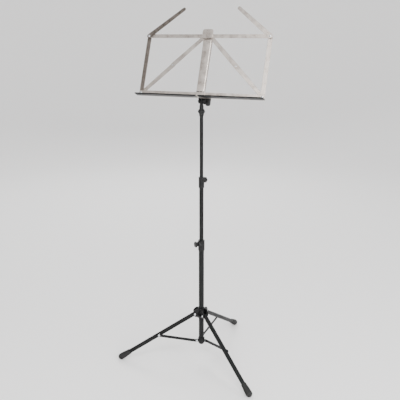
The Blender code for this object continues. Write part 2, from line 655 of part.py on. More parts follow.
def build_brace_collar(stand):
    """The ring on the base tube's foot, with an ear beside each brace."""
    bore = BASE_RADIUS + GAP
    outer = BASE_RADIUS + BRACE_COLLAR_WALL
    bottom = BRACE_PIVOT_HEIGHT - BRACE_COLLAR_HEIGHT * 0.55
    top = bottom + BRACE_COLLAR_HEIGHT
    collar = piece("brace_collar", tube_mesh("brace_collar", outer, bore, bottom, top), PLASTIC, stand)
    ear_far = LEG_RADIUS
    for name, azimuth in LEG_AZIMUTHS.items():
        turned = axis("collar_arm_" + name, stand, (0, 0, BRACE_PIVOT_HEIGHT), (0, 0, azimuth))
        outline = [(BASE_RADIUS * 0.75, -BRACE_WIDTH / 2)] + arc((BRACE_PIVOT_REACH, 0), BRACE_WIDTH / 2, -90, 90)
        outline += [(BASE_RADIUS * 0.75, BRACE_WIDTH / 2)]
        hole = circle((BRACE_PIVOT_REACH, 0), BRACE_PIN_RADIUS + PIN_PLAY)
        ear = plate_mesh("collar_ear", [outline, hole], BRACE_EAR, -(ear_far - BRACE_EAR / 2))
        tool = piece("collar_ear_" + name, ear, None, turned, (0, 0, 0), (90, 0, 0), cutter=True)
        combine(collar, tool, "UNION")
    clear = piece("collar_clear", rod_mesh("collar_clear", bore, bottom - CUT_MARGIN, top + CUT_MARGIN, TUBE_STEPS),
                  None, stand, cutter=True)
    combine(collar, clear, "DIFFERENCE")


# ---------------------------------------------------------------- head
def build_head(upper, socket_top):
    swivel = axis("desk_swivel", upper, (0, 0, socket_top))
    lug_at = TILT_HEIGHT - socket_top
    profile = [(0, NECK_HEIGHT), (NECK_RADIUS, NECK_HEIGHT), (NECK_RADIUS, GAP), (STEM_RADIUS, GAP),
               (STEM_RADIUS, -STEM_IN_TUBE), (0, -STEM_IN_TUBE)]
    stem = piece("head_stem", turned_mesh("head_stem", profile), PLASTIC, swivel)
    outline = [(-LUG_RADIUS * 0.75, NECK_HEIGHT * 0.5 - lug_at), (LUG_RADIUS * 0.75, NECK_HEIGHT * 0.5 - lug_at)]
    outline += arc((0, 0), LUG_RADIUS, -10, 190, 12)
    hole = circle((0, 0), TILT_BOLT_RADIUS + PIN_PLAY)
    lug = piece("stem_lug", plate_mesh("stem_lug", [outline, hole], LUG_WIDTH), None, swivel, (0, 0, lug_at),
                (90, 0, 90), cutter=True)
    combine(stem, lug, "UNION")

    tilt = axis("tilt_axis", swivel, (0, 0, lug_at), (-DESK_TILT, 0, 0))
    cheek_in = LUG_WIDTH / 2 + GAP
    cheek_out = cheek_in + FORK_CHEEK
    boss_out = cheek_out + FORK_BOSS
    plate_front = GAP - DESK_FORWARD - web_front() + POST_WALL
    plate_bottom = LEDGE_RISE - POST_FOOT
    root = plate_front + FORK_CHEEK / 2
    shoulder = plate_bottom + FORK_PLATE_HEIGHT * 0.45
    outline = [(root, plate_bottom + FORK_CHEEK / 2)] + arc((0, 0), LUG_RADIUS, -90, 90, 8)
    outline += [(root + FORK_SHOULDER, shoulder), (root, shoulder)]
    half = cheek_out + FORK_PLATE_MARGIN
    fork = piece("tilt_fork", box_mesh("tilt_fork", (-half, plate_front, plate_bottom),
                                       (half, plate_front + FORK_CHEEK, plate_bottom + FORK_PLATE_HEIGHT)),
                 PLASTIC, tilt)
    for side in (-1, 1):
        cheek = plate_mesh("fork_cheek", [outline], FORK_CHEEK, side * (cheek_in + FORK_CHEEK / 2))
        boss = rod_mesh("fork_boss", FORK_BOSS_RADIUS, cheek_out - FORK_CHEEK / 2, boss_out, BOSS_STEPS)
        combine(fork, piece(f"fork_cheek_{side}", cheek, None, tilt, (0, 0, 0), (90, 0, 90), cutter=True), "UNION")
        combine(fork, piece(f"fork_boss_{side}", boss, None, tilt, (0, 0, 0), (0, side * 90, 0), cutter=True), "UNION")
    drill = rod_mesh("fork_drill", TILT_BOLT_RADIUS + PIN_PLAY, -boss_out * 2, boss_out * 2)
    combine(fork, piece("fork_drill", drill, None, tilt, (0, 0, 0), (0, 90, 0), cutter=True), "DIFFERENCE")
    bolt = rivet_profile(-boss_out * 2 - TILT_KNOB_HUB - TILT_WING_THICKNESS * 0.5, GAP, TILT_BOLT_RADIUS,
                         TILT_BOLT_HEAD_RADIUS, TILT_BOLT_HEAD)
    piece("tilt_bolt", turned_mesh("tilt_bolt", bolt, PIN_STEPS), NICKEL, tilt, (-boss_out, 0, 0), (0, -90, 0))
    turning = axis("tilt_knob_axis", tilt, (boss_out + GAP, 0, 0), (0, 90, 0))
    wing = bar_outline(TILT_WING_LENGTH - TILT_WING_WIDTH, TILT_WING_WIDTH, TILT_WING_WIDTH)
    wing = [(x - (TILT_WING_LENGTH - TILT_WING_WIDTH) / 2, y) for x, y in wing]
    knob = piece("tilt_knob", plate_mesh("tilt_knob", [wing], TILT_WING_THICKNESS,
                                         TILT_KNOB_HUB + TILT_WING_THICKNESS / 2), PLASTIC, turning)
    hub = piece("tilt_knob_hub", rod_mesh("tilt_knob_hub", TILT_KNOB_HUB_RADIUS, 0, TILT_KNOB_HUB * 1.2, BOSS_STEPS), None,
                turning, cutter=True)
    drill = piece("tilt_knob_drill", rod_mesh("tilt_knob_drill", TILT_BOLT_RADIUS + PIN_PLAY, -CUT_MARGIN,
                                              TILT_KNOB_HUB + TILT_WING_THICKNESS * 0.55), None, turning, cutter=True)
    combine(knob, hub, "UNION")
    combine(knob, drill, "DIFFERENCE")
    return tilt


# ---------------------------------------------------------------- desk
def height_of(layer):
    """The mid-plane of a strip's layer, out from the desk towards the player."""
    return LAYERS[layer] * LAYER


def turn_of(side, angle):
    """A bar's turn in the desk's plane, for an angle given for the right side."""
    return (0, 0, angle if side > 0 else 180 - angle)


def web_front():
    """The height of the post's front face, just behind the innermost strips."""
    return height_of("strut") - STRIP_THICKNESS / 2 - GAP


def build_post(plane):
    front = web_front()
    low, high = -POST_FOOT, DESK_HEIGHT + POST_HEAD
    corners = ((POST_BOTTOM_WIDTH / 2, low), (POST_TOP_WIDTH / 2, high), (-POST_TOP_WIDTH / 2, high),
               (-POST_BOTTOM_WIDTH / 2, low))
    holes = [circle((x, y), RIVET_RADIUS + PIN_PLAY) for x in (-CENTRE_PIVOT, CENTRE_PIVOT) for y in (0, DESK_HEIGHT)]
    post = piece("centre_post", plate_mesh("centre_post", [corners] + holes, POST_WALL, front - POST_WALL / 2), NICKEL,
                 plane)
    for side in (-1, 1):
        bottom, top = (Vector((side * width / 2, y)) for width, y in
                       ((POST_BOTTOM_WIDTH, low), (POST_TOP_WIDTH, high)))
        inward = Vector((-side * POST_WALL, 0))
        outline = [tuple(bottom), tuple(bottom + inward), tuple(top + inward), tuple(top)]
        flange = plate_mesh("post_flange", [outline], POST_DEPTH, front - POST_DEPTH / 2)
        tool = piece(f"post_flange_{side}", flange, None, plane, cutter=True)
        combine(post, tool, "UNION")
    return front - POST_WALL


def pivot_pins(target, plane, at, top, web_back, shoulder):
    """Two pins on the back of a cover plate, peened behind the post's web. A shoulder fills the empty layer."""
    for side in (-1, 1):
        end = web_back - GAP
        profile = [(0, top), (RIVET_RADIUS, top)]
        if shoulder:
            low = height_of("strut") - STRIP_THICKNESS / 2
            high = height_of("strip") - STRIP_THICKNESS / 2 - GAP
            profile += [(RIVET_RADIUS, high), (RIVET_RADIUS * 1.8, high), (RIVET_RADIUS * 1.8, low),
                        (RIVET_RADIUS, low)]
        profile += [(RIVET_RADIUS, end), (PEEN_RADIUS, end), (PEEN_RADIUS, end - RIVET_TAIL),
                    (0, end - RIVET_TAIL)]
        pin = piece(f"{target.name}_pin_{side}", turned_mesh("pivot_pin", profile, PIN_STEPS), None, plane,
                    (side * CENTRE_PIVOT, at, 0), cutter=True)
        combine(target, pin, "UNION")


def build_covers(plane, web_back):
    """The cap and the bracket, which cover the inner pivots and carry their pins."""
    cover = height_of("arm") + CAP_THICKNESS / 2 - STRIP_THICKNESS / 2
    outline = rounded_rectangle((-CAP_WIDTH / 2, DESK_HEIGHT - CAP_BELOW), (CAP_WIDTH / 2, DESK_HEIGHT + CAP_ABOVE),
                                CAP_CORNER)
    cap = piece("top_cap", plate_mesh("top_cap", [outline], CAP_THICKNESS, cover), NICKEL, plane)
    web_front = web_back + POST_WALL
    spine = box_mesh("cap_spine", (-SPINE_WIDTH / 2, DESK_HEIGHT - CAP_BELOW, web_front + GAP),
                     (SPINE_WIDTH / 2, DESK_HEIGHT + POST_HEAD, cover))
    combine(cap, piece("cap_spine", spine, None, plane, cutter=True), "UNION")
    pivot_pins(cap, plane, DESK_HEIGHT, cover, web_back, shoulder=False)

    half = BRACKET_WIDTH / 2
    bar = rounded_rectangle((-half, -LEDGE_BELOW), (half, LEDGE_ABOVE), BRACKET_CORNER)
    bracket = piece("centre_bracket", plate_mesh("centre_bracket", [bar], CAP_THICKNESS, cover), NICKEL, plane)
    pivot_pins(bracket, plane, 0, cover, web_back, shoulder=True)


def long_rivet(name, parent, layers, at):
    """A rivet through the layers from the first, in front, to the last, at the back."""
    first = height_of(layers[0]) + STRIP_THICKNESS / 2 + GAP
    last = height_of(layers[1]) - STRIP_THICKNESS / 2 - GAP
    profile = rivet_profile(last, first)[:-2]
    profile += [(RIVET_RADIUS, last), (RIVET_TAIL_RADIUS, last), (RIVET_TAIL_RADIUS, last - RIVET_TAIL),
                (0, last - RIVET_TAIL)]
    return piece(name, turned_mesh(name, profile, PIN_STEPS), NICKEL, parent, at)


def strip(name, parent, length, layer, turn, start_width=STRIP_WIDTH, end_width=STRIP_WIDTH, blind_end=False):
    """A flat strip from its own pivot, with a hole at each joined end."""
    ends = (0,) if blind_end else (0, length)
    holes = [circle((x, 0), RIVET_RADIUS + PIN_PLAY) for x in ends]
    outline = bar_outline(length, start_width, end_width)
    mesh = plate_mesh(name, [outline] + holes, STRIP_THICKNESS, height_of(layer))
    return piece(name, mesh, NICKEL, parent, (0, 0, 0), turn)


def build_side(plane, side, word):
    """One half of the desk: side is 1 on the right and -1 on the left."""
    reach = DESK_HALF_WIDTH - CENTRE_PIVOT
    stay = math.hypot(reach, DESK_HEIGHT) / 2
    stay_angle = -math.degrees(math.atan2(DESK_HEIGHT, reach))

    ledge = axis(f"ledge_pivot_{word}", plane, (side * CENTRE_PIVOT, 0, 0))
    build_ledge_strip(ledge, side, word, reach)
    build_shelf(ledge, side, word, reach)
    corner = (side * reach, 0, 0)
    strut = axis(f"strut_pivot_{word}", ledge, corner)
    strip(f"side_strut_{word}", strut, DESK_HEIGHT, "strut", (0, 0, 90), STRUT_WIDTH, STRUT_WIDTH)
    outer = axis(f"stay_outer_pivot_{word}", ledge, corner)
    strip(f"stay_outer_{word}", outer, stay, "stay_outer", turn_of(side, 180 + stay_angle), STRIP_WIDTH,
          STAY_EYE_WIDTH)
    long_rivet(f"lower_corner_rivet_{word}", ledge, ("strip", "stay_outer"), corner)

    top = axis(f"top_strip_pivot_{word}", plane, (side * CENTRE_PIVOT, DESK_HEIGHT, 0))
    strip(f"top_strip_{word}", top, reach, "strip", turn_of(side, 0))
    arm = axis(f"page_arm_pivot_{word}", top, corner)
    strip(f"page_arm_{word}", arm, ARM_LENGTH, "arm", turn_of(side, 180 - ARM_ANGLE), ARM_ROOT_WIDTH,
          ARM_TIP_WIDTH, blind_end=True)
    long_rivet(f"upper_corner_rivet_{word}", top, ("arm", "strut"), corner)
    inner = axis(f"stay_inner_pivot_{word}", plane, (side * CENTRE_PIVOT, DESK_HEIGHT, 0))
    strip(f"stay_inner_{word}", inner, stay, "stay_inner", turn_of(side, stay_angle), STRIP_WIDTH,
          STAY_EYE_WIDTH)
    radians = math.radians(stay_angle)
    eye = (side * stay * math.cos(radians), stay * math.sin(radians), 0)
    flush = height_of("stay_inner") - STRIP_THICKNESS / 2
    piece(f"stay_rivet_{word}", rod_mesh("stay_rivet", RIVET_RADIUS, flush, flush + STRIP_THICKNESS), NICKEL, inner,
          eye)


def build_ledge_strip(ledge, side, word, reach):
    """The tall strip behind the shelf. Its root is round where it turns past the other half's root."""
    end = reach + STRIP_WIDTH / 2
    outline = arc((0, 0), LEDGE_ABOVE, 90, 225) + [(0, -LEDGE_BELOW)]
    outline += arc((end - LEDGE_ROOT_SLOPE, LEDGE_ROOT_SLOPE - LEDGE_BELOW), LEDGE_ROOT_SLOPE, -90, 0, 3)
    outline += arc((end - LEDGE_ROOT_SLOPE, LEDGE_ABOVE - LEDGE_ROOT_SLOPE), LEDGE_ROOT_SLOPE, 0, 90, 3)
    loops = [outline] + [circle((x, 0), RIVET_RADIUS + PIN_PLAY) for x in (0, reach)]
    loops = [[(side * x, y) for x, y in loop] for loop in loops]
    mesh = plate_mesh("ledge_strip", loops, STRIP_THICKNESS, height_of("strip"))
    piece(f"ledge_strip_{word}", mesh, NICKEL, ledge)


def build_shelf(ledge, side, word, reach):
    """The shelf that the pages stand on: a plate along the strip's lower edge, with a low lip in front."""
    start = SHELF_START - CENTRE_PIVOT
    end = reach + SHELF_OVERHANG
    top = SHELF_THICKNESS - LEDGE_BELOW
    back = STRIP_THICKNESS / 2 + GAP
    front = back + SHELF_DEPTH
    low, high = sorted((side * start, side * end))
    bottom = top - SHELF_THICKNESS
    shelf = piece(f"shelf_{word}", box_mesh("shelf", (low, bottom, back), (high, top, front)), PLASTIC, ledge)
    notch = back + CAP_THICKNESS + GAP
    inner, outer = sorted((side * (SHELF_TONGUE_START - CENTRE_PIVOT), side * (start + CUT_MARGIN)))
    tongue = box_mesh("shelf_tongue", (inner, bottom, notch), (outer, top, front))
    combine(shelf, piece(f"shelf_tongue_{word}", tongue, None, ledge, cutter=True), "UNION")
    low, high = min(low, inner), max(high, outer)
    section = [(bottom, front), (bottom, front - SHELF_THICKNESS), (top, front - SHELF_THICKNESS),
               (top + SHELF_LIP, front - SHELF_THICKNESS + SHELF_LIP_LEAN), (top + SHELF_LIP, front)]
    lip = plate_mesh("shelf_lip", [section], high - low, 0)
    tool = piece(f"shelf_lip_{word}", lip, None, ledge, ((low + high) / 2, 0, 0), (90, 0, 90), cutter=True)
    combine(shelf, tool, "UNION")


# ---------------------------------------------------------------- the stand
def footprint_middle():
    """The middle of the rectangle that the three feet's round ends fit in, from the tubes' axis."""
    spots = [(FOOT_REACH * math.cos(math.radians(a)), FOOT_REACH * math.sin(math.radians(a)))
             for a in LEG_AZIMUTHS.values()]
    return [(min(values) + max(values)) / 2 for values in zip(*spots)]


def build_stand():
    clear_scene()
    for finish in FINISHES:
        material(*finish)
    middle = footprint_middle()
    stand = axis("stand", None, (-middle[0], -middle[1], 0))

    upper, socket_top = build_tubes(stand)
    slide = build_hub(stand)
    build_brace_collar(stand)
    shared = tripod_shapes()
    for name, azimuth in LEG_AZIMUTHS.items():
        build_leg(stand, slide, name, azimuth, shared)
    tilt = build_head(upper, socket_top)
    plane = axis("desk_plane", tilt, (0, -DESK_FORWARD, LEDGE_RISE), (90, 0, 0))
    web_back = build_post(plane)
    build_covers(plane, web_back)
    for side, word in ((-1, "left"), (1, "right")):
        build_side(plane, side, word)


build_stand()
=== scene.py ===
"""A folding music stand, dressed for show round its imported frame.

Every surface is worked out with numpy: a profile turned round an axis, an outline raised into a plate, or a
sheet's section carried along a line. Places, lengths and directions come from the frame's joints and nodes.
Metres throughout, +Z up, with the player on the -Y side.
"""

import json
import math

import bmesh
import bpy
import numpy as np
from mathutils import Matrix


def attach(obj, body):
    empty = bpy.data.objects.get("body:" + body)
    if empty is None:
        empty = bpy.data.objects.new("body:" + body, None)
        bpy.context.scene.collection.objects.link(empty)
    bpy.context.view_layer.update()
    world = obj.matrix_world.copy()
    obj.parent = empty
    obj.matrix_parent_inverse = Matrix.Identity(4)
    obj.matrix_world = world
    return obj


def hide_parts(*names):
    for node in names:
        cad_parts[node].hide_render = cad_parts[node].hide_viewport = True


MM = 0.001
WELD = 2e-6  # vertices nearer than this are one
SHARP = 38.0  # degrees; a crease sharper than this stays crisp

# ---------------------------------------------------------------- what the maker sets
TUBE_WALL = 1.1 * MM
TUBE_LIP = 0.35 * MM  # the rounding on a cut and deburred tube end
STRIP_EDGE = 0.55 * MM  # the rounding on a rolled strip's edges
SHEET_EDGE = 0.4 * MM
KNOB_LOBES = 6
KNOB_DIP = 0.15  # how far the grip dips between lobes, as a share of its radius
BOSS_FLAT = 6.0 * MM  # round the screw
BOSS_SPREAD = 12.5 * MM  # where the boss has run out into the collar
GAP = 0.3 * MM  # between pieces that touch
SHEET = 1.8 * MM  # the shelf's steel
POST_WALL = 1.2 * MM
EAR = 3.5 * MM
HUB_WALL = 2.4 * MM
HUB_EAR_CENTRE = (13 * MM, 4.5 * MM)  # of the ears' round edge, out from the axis and up from the pivot
HUB_EAR_RADIUS = 18.5 * MM
HUB_EAR_ROOT = 9.2 * MM
HUB_BOSS_RADII = (5.6 * MM, 5.0 * MM)  # at its root and at its face
HUB_BOSS_REACH = 16.5 * MM
RING_WALL = 2.8 * MM  # of the braces' ring
BRACE_WIDTH = 11 * MM
CHEEK = 3.0 * MM
CHEEK_INSIDE = 3.8 * MM  # from the middle of the lug
BOLT_BOSS_START, BOLT_BOSS_RADIUS = 5.0 * MM, 9.0 * MM
STEM_RADIUS = 4.9 * MM
NECK_RADIUS = 6.5 * MM
LUG_HALF = (7.1 * MM, 3.5 * MM)  # across its foot and through it
KNOB_HUB = 8.0 * MM
KNOB_HUB_RADII = (11.8 * MM, 11.4 * MM, 9.0 * MM)  # at the cheek, the shoulder and the face
COVER = 2.0 * MM  # the cap's and the bracket's plate
PIN_RADIUS = 2.2 * MM
PEEN_RADII = (2.7 * MM, 2.5 * MM)  # at its root and at its face
SHADOW_MARK_SPANS = ((-14, -3), (-1, 7.5), (10, 14))  # across the post, in millimetres, of the painted shadow marks above the bracket
SHADOW_MARK_HEIGHT = 4 * MM

CAMERA_PLACE = (0.79345, -2.01486, 1.2261)
CAMERA_PITCH = 15.44  # degrees below level
CAMERA_TURN = 21.86  # degrees towards the player's right
CAMERA_LENS = 53.42  # millimetres, on the usual 36 mm frame
FLOOR_RADIUS = 3.6
SWEEP_RADIUS = 2.6
SWEEP_HEIGHT = 5.5


# ---------------------------------------------------------------- frame
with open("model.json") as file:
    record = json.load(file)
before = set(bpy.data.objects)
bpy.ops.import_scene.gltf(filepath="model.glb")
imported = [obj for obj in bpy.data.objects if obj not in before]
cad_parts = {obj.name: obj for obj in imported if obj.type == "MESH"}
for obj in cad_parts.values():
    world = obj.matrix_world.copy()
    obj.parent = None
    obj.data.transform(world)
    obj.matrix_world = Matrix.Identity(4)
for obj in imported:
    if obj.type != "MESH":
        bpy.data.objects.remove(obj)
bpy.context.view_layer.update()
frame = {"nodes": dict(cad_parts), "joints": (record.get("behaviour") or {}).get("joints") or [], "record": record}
bodies = frame["record"]["behaviour"]["bodies"]
body_of = {node: body for body, members in bodies.items() for node in members}
pivot = {row["name"]: np.array(row["pos_m"]) for row in frame["joints"] if "pos_m" in row}
swing = {row["name"]: np.array(row["axis"]) for row in frame["joints"]}
mount = {row["name"]: np.array(row["pos_m"]) for row in frame["record"]["mounts"]}
Z = np.array((0.0, 0.0, 1.0))
X = np.array((1.0, 0.0, 0.0))
OUT = swing["desk_fold_right"] / np.linalg.norm(swing["desk_fold_right"])  # off the desk, towards the player
UP = np.cross(OUT, X)  # up along the desk
CENTRE = pivot["desk_tilt"] * (1, 1, 0)  # where the tubes' common axis meets the floor
LEGS = ("left", "right", "rear")
SIDES = ("left", "right")


def corners_of(node):
    return np.array([v.co for v in frame["nodes"][node].data.vertices])


def span(node, direction, start=(0, 0, 0)):
    """How far a node reaches along a direction, least and most, from a starting point."""
    reach = (corners_of(node) - np.array(start)) @ unit(direction)
    return reach.min(), reach.max()


# ---------------------------------------------------------------- vectors and flat outlines
def unit(vector):
    vector = np.asarray(vector, float)
    return vector / np.linalg.norm(vector)


def square_to(direction):
    """Two unit vectors square to a direction and to each other."""
    direction = unit(direction)
    helper = Z if abs(direction[2]) < 0.9 else X
    first = unit(np.cross(helper, direction))
    return first, np.cross(direction, first)


def arc(centre, radius, start, end, steps=16):
    """Points round part of a circle: centre plus radius times (cos, sin), angles in degrees."""
    turn = np.radians(np.linspace(start, end, steps + 1))
    return np.array(centre) + radius * np.stack((np.cos(turn), np.sin(turn)), 1)


def eased(points, radius, steps=5, closed=True):
    """Rounds a line's corners: each corner becomes the curve (1-t)^2 A + 2t(1-t) P + t^2 B, with A and B
    at most the radius away along the two edges that meet in P."""
    points = np.asarray(points, float)
    before, after = np.roll(points, 1, 0) - points, np.roll(points, -1, 0) - points
    lengths = [np.linalg.norm(edge, axis=1, keepdims=True) for edge in (before, after)]
    reach = np.minimum(np.reshape(np.broadcast_to(radius, len(points)), (-1, 1)), 0.48 * np.minimum(*lengths))
    if not closed:
        reach[[0, -1]] = 0
    starts, ends = points + before / lengths[0] * reach, points + after / lengths[1] * reach
    t = np.linspace(0, 1, steps + 1)[None, :, None]
    curve = (1 - t) ** 2 * starts[:, None] + 2 * t * (1 - t) * points[:, None] + t**2 * ends[:, None]
    curve = curve.reshape(-1, 2)
    keep = np.linalg.norm(curve - np.roll(curve, 1, 0), axis=1) > WELD
    keep[0] = True
    return curve[keep]


def bar(length, start_width, end_width=None):
    """The outline of a bar from (0, 0) to (length, 0), round at both ends."""
    end_width = start_width if end_width is None else end_width
    return np.concatenate((arc((0, 0), start_width / 2, 90, 270), arc((length, 0), end_width / 2, -90, 90)))


def box_outline(low, high, radius):
    """A rectangle between two opposite corners, with its corners eased."""
    (x0, y0), (x1, y1) = low, high
    return eased(((x0, y0), (x1, y0), (x1, y1), (x0, y1)), radius)


# ---------------------------------------------------------------- surfaces
def turned(profile, origin, direction, steps=96, ripple=None):
    """A profile of (radius, height) turned round an axis: origin + height*axis + radius*(cos a, sin a).
    Ripple, if given, changes the radius as a function of (angle, height, radius)."""
    profile = np.asarray(profile, float)
    first, second = square_to(direction)
    angle = np.linspace(0, 2 * math.pi, steps, endpoint=False)[None, :]
    radius = profile[:, 0:1] * np.ones_like(angle)
    height = profile[:, 1:2] * np.ones_like(angle)
    if ripple is not None:
        radius = ripple(angle, height, radius)
    ring = np.cos(angle)[..., None] * first + np.sin(angle)[..., None] * second
    grid = np.array(origin) + height[..., None] * unit(direction) + radius[..., None] * ring
    flat = np.stack((height, radius * angle), -1)
    return grid, flat, True


def plate(outline, low, high, edge, origin, along, across, belly=0.0):
    """A convex outline raised into a plate: each row is the outline moved inwards, at its own height. The rows
    follow a quarter round of the edge's radius over the rim and under it. Belly swells the faces' middles."""
    outline = np.asarray(outline, float)
    tangent = np.roll(outline, -1, 0) - np.roll(outline, 1, 0)
    inward = np.stack((-tangent[:, 1], tangent[:, 0]), 1) / np.linalg.norm(tangent, axis=1, keepdims=True)
    area = np.sum(outline[:, 0] * np.roll(outline[:, 1], -1) - np.roll(outline[:, 0], -1) * outline[:, 1])
    inward = inward * np.sign(area)
    middle = outline.mean(0)
    turn = np.radians(np.linspace(0, 90, 6))
    rim_in, rim_up = edge * (1 - np.sin(turn)), high - edge * (1 - np.cos(turn))
    insets = np.concatenate(([edge * 1.08], rim_in, rim_in[::-1], [edge * 1.08]))
    heights = np.concatenate(([high], rim_up, (low + high) - rim_up[::-1], [low]))
    rows = outline[None] + insets[:, None, None] * inward[None]
    centre = np.broadcast_to(middle, (1,) + outline.shape)
    half = (rows[:1] + centre) / 2
    far = (rows[-1:] + centre) / 2
    rows = np.concatenate((centre, half, rows, far, centre))
    heights = np.concatenate(([high + belly, high + belly * 0.75], heights, [low - belly * 0.75, low - belly]))
    along, across = unit(along), unit(across)
    out = np.cross(along, across)
    grid = np.array(origin) + rows[..., 0:1] * along + rows[..., 1:2] * across + heights[:, None, None] * out
    return grid, rows, True


def bent(path, thickness, stations, place, edge=SHEET_EDGE):
    """Sheet metal bent along a path and carried along a line. The section is the path moved half a thickness to
    each side and joined by round rims. Place turns (path point, station) into a point in space."""
    path = np.asarray(path, float)
    tangent = np.gradient(path, axis=0)
    normal = np.stack((-tangent[:, 1], tangent[:, 0]), 1) / np.linalg.norm(tangent, axis=1, keepdims=True)
    half = thickness / 2
    turn = np.radians(np.linspace(-90, 90, 7))[1:-1, None]
    end = path[-1] + half * (np.cos(turn) * unit(tangent[-1]) - np.sin(turn) * normal[-1])
    start = path[0] + half * (-np.cos(turn) * unit(tangent[0]) + np.sin(turn) * normal[0])
    section = np.concatenate((path + half * normal, end, (path - half * normal)[::-1], start))
    middle = np.concatenate((path, np.repeat(path[-1:], 5, 0), path[::-1], np.repeat(path[:1], 5, 0)))
    swell = np.radians(np.linspace(0, 90, 4))
    share = np.concatenate(([0], 1 - edge / half * (1 - np.sin(swell))))
    inset = np.concatenate(([0], edge * (1 - np.cos(swell))))
    share = np.concatenate((share, np.ones(len(stations)), share[::-1]))
    line = np.concatenate((stations[0] + inset - edge, stations, stations[-1] + edge - inset[::-1]))
    rows = middle[None] + share[:, None, None] * (section - middle)[None]
    line = np.broadcast_to(line[:, None], rows.shape[:2])
    return place(rows[..., 0], rows[..., 1], line), np.stack((line, rows[..., 0] + rows[..., 1]), -1), True


def build(name, shells, finish):
    """One mesh from several grids: neighbours in a grid make its faces, columns close round, doubles are welded
    and each shell's faces are turned outwards. The flat coordinates become the UV map, in metres."""
    points, faces, flats, start = [], [], [], 0
    for grid, flat, closed in shells:
        rows, columns = grid.shape[:2]
        index = start + np.arange(rows * columns).reshape(rows, columns)
        following = np.roll(index, -1, 1) if closed else index[:, 1:]
        here = index if closed else index[:, :-1]
        quads = np.stack((here[:-1], following[:-1], following[1:], here[1:]), -1)
        points.append(grid.reshape(-1, 3))
        flats.append(flat.reshape(-1, 2))
        faces.append(quads.reshape(-1, 4))
        start += rows * columns
    points, faces, flats = (np.concatenate(parts) for parts in (points, faces, flats))
    mesh = bpy.data.meshes.new(name)
    mesh.vertices.add(len(points))
    mesh.vertices.foreach_set("co", points.ravel())
    mesh.loops.add(faces.size)
    mesh.loops.foreach_set("vertex_index", faces.ravel().astype(np.int32))
    mesh.polygons.add(len(faces))
    mesh.polygons.foreach_set("loop_start", np.arange(0, faces.size, 4, dtype=np.int32))
    mesh.polygons.foreach_set("loop_total", np.full(len(faces), 4, np.int32))
    mesh.update(calc_edges=True)
    mesh.uv_layers.new(name="UVMap").data.foreach_set("uv", flats[faces.ravel()].ravel())
    work = bmesh.new()
    work.from_mesh(mesh)
    bmesh.ops.remove_doubles(work, verts=work.verts, dist=WELD)
    bmesh.ops.dissolve_degenerate(work, edges=work.edges, dist=WELD)
    bmesh.ops.recalc_face_normals(work, faces=work.faces)
    work.to_mesh(mesh)
    work.free()
    mesh.shade_smooth()
    mesh.set_sharp_from_angle(angle=math.radians(SHARP))
    mesh.materials.append(finish)
    made = bpy.data.objects.new(name, mesh)
    bpy.context.scene.collection.objects.link(made)
    return made


def stand_for(node, shells, finish):
    """A finished piece in place of a node, on the node's body and in its finish slot."""
    made = build(node + "_made", shells, finish)
    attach(made, body_of[node])
    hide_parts(node)
    return made


# ---------------------------------------------------------------- materials
def linear(sheet_colour):
    """An sRGB hex colour as linear light: below 0.04045 a twelfth or so, above it a power of 2.4."""
    channels = np.array([int(sheet_colour[i : i + 2], 16) / 255 for i in (0, 2, 4)])
    low, high = channels / 12.92, ((channels + 0.055) / 1.055) ** 2.4
    return (*np.where(channels <= 0.04045, low, high), 1.0)


def add_node(tree, kind, inputs=None, **settings):
    """Adds a shader node with its settings, and fills its inputs with values or with other nodes' sockets."""
    made = tree.nodes.new("ShaderNode" + kind)
    for key, value in settings.items():
        setattr(made, key, value)
    for key, value in (inputs or {}).items():
        if isinstance(value, bpy.types.NodeSocket):
            tree.links.new(value, made.inputs[key])
        else:
            made.inputs[key].default_value = value
    return made


def new_material(name, **sockets):
    """A material with its Principled shader's sockets set, its tree and the shader."""
    made = bpy.data.materials.new(name)
    made.use_nodes = True
    shader = made.node_tree.nodes["Principled BSDF"]
    for key, value in sockets.items():
        shader.inputs[key.replace("_", " ")].default_value = value
    return made, made.node_tree, shader


def ramp(tree, factor, low, high, start=0.3, end=0.7):
    """Blends two hex colours between two levels of a pattern."""
    made = add_node(tree, "ValToRGB", {"Fac": factor})
    made.color_ramp.elements[0].position = start
    made.color_ramp.elements[1].position = end
    made.color_ramp.elements[0].color = linear(low)
    made.color_ramp.elements[1].color = linear(high)
    return made.outputs["Color"]


def cells(size):
    """The Scale that makes a noise's blotches about this many metres wide."""
    return 1.0 / size


def powder_coated_steel():
    """Black epoxy powder, baked on steel tube: deep and satin, with the soft ripple that melted powder sets in,
    drawn coarser than life so that highlights still waver at this distance, and a few dull rubbed patches."""
    made, tree, shader = new_material("satin_powder_coated_steel", Specular_IOR_Level=0.22)
    place = add_node(tree, "TexCoord").outputs["Object"]
    peel = add_node(tree, "TexNoise", {"Vector": place, "Scale": cells(1.6 * MM), "Detail": 2.0, "Roughness": 0.4})
    rubbed = add_node(tree, "TexNoise", {"Vector": place, "Scale": cells(38 * MM), "Detail": 5.0, "Roughness": 0.6})
    colour = ramp(tree, rubbed.outputs["Fac"], "070708", "0F1011")
    tree.links.new(colour, shader.inputs["Base Color"])
    dull = add_node(tree, "MapRange", {"Value": rubbed.outputs["Fac"], "From Min": 0.3, "From Max": 0.75,
                                       "To Min": 0.38, "To Max": 0.52})
    tree.links.new(dull.outputs["Result"], shader.inputs["Roughness"])
    bump = add_node(tree, "Bump", {"Height": peel.outputs["Fac"], "Strength": 0.35, "Distance": 0.10 * MM})
    tree.links.new(bump.outputs["Normal"], shader.inputs["Normal"])
    return made


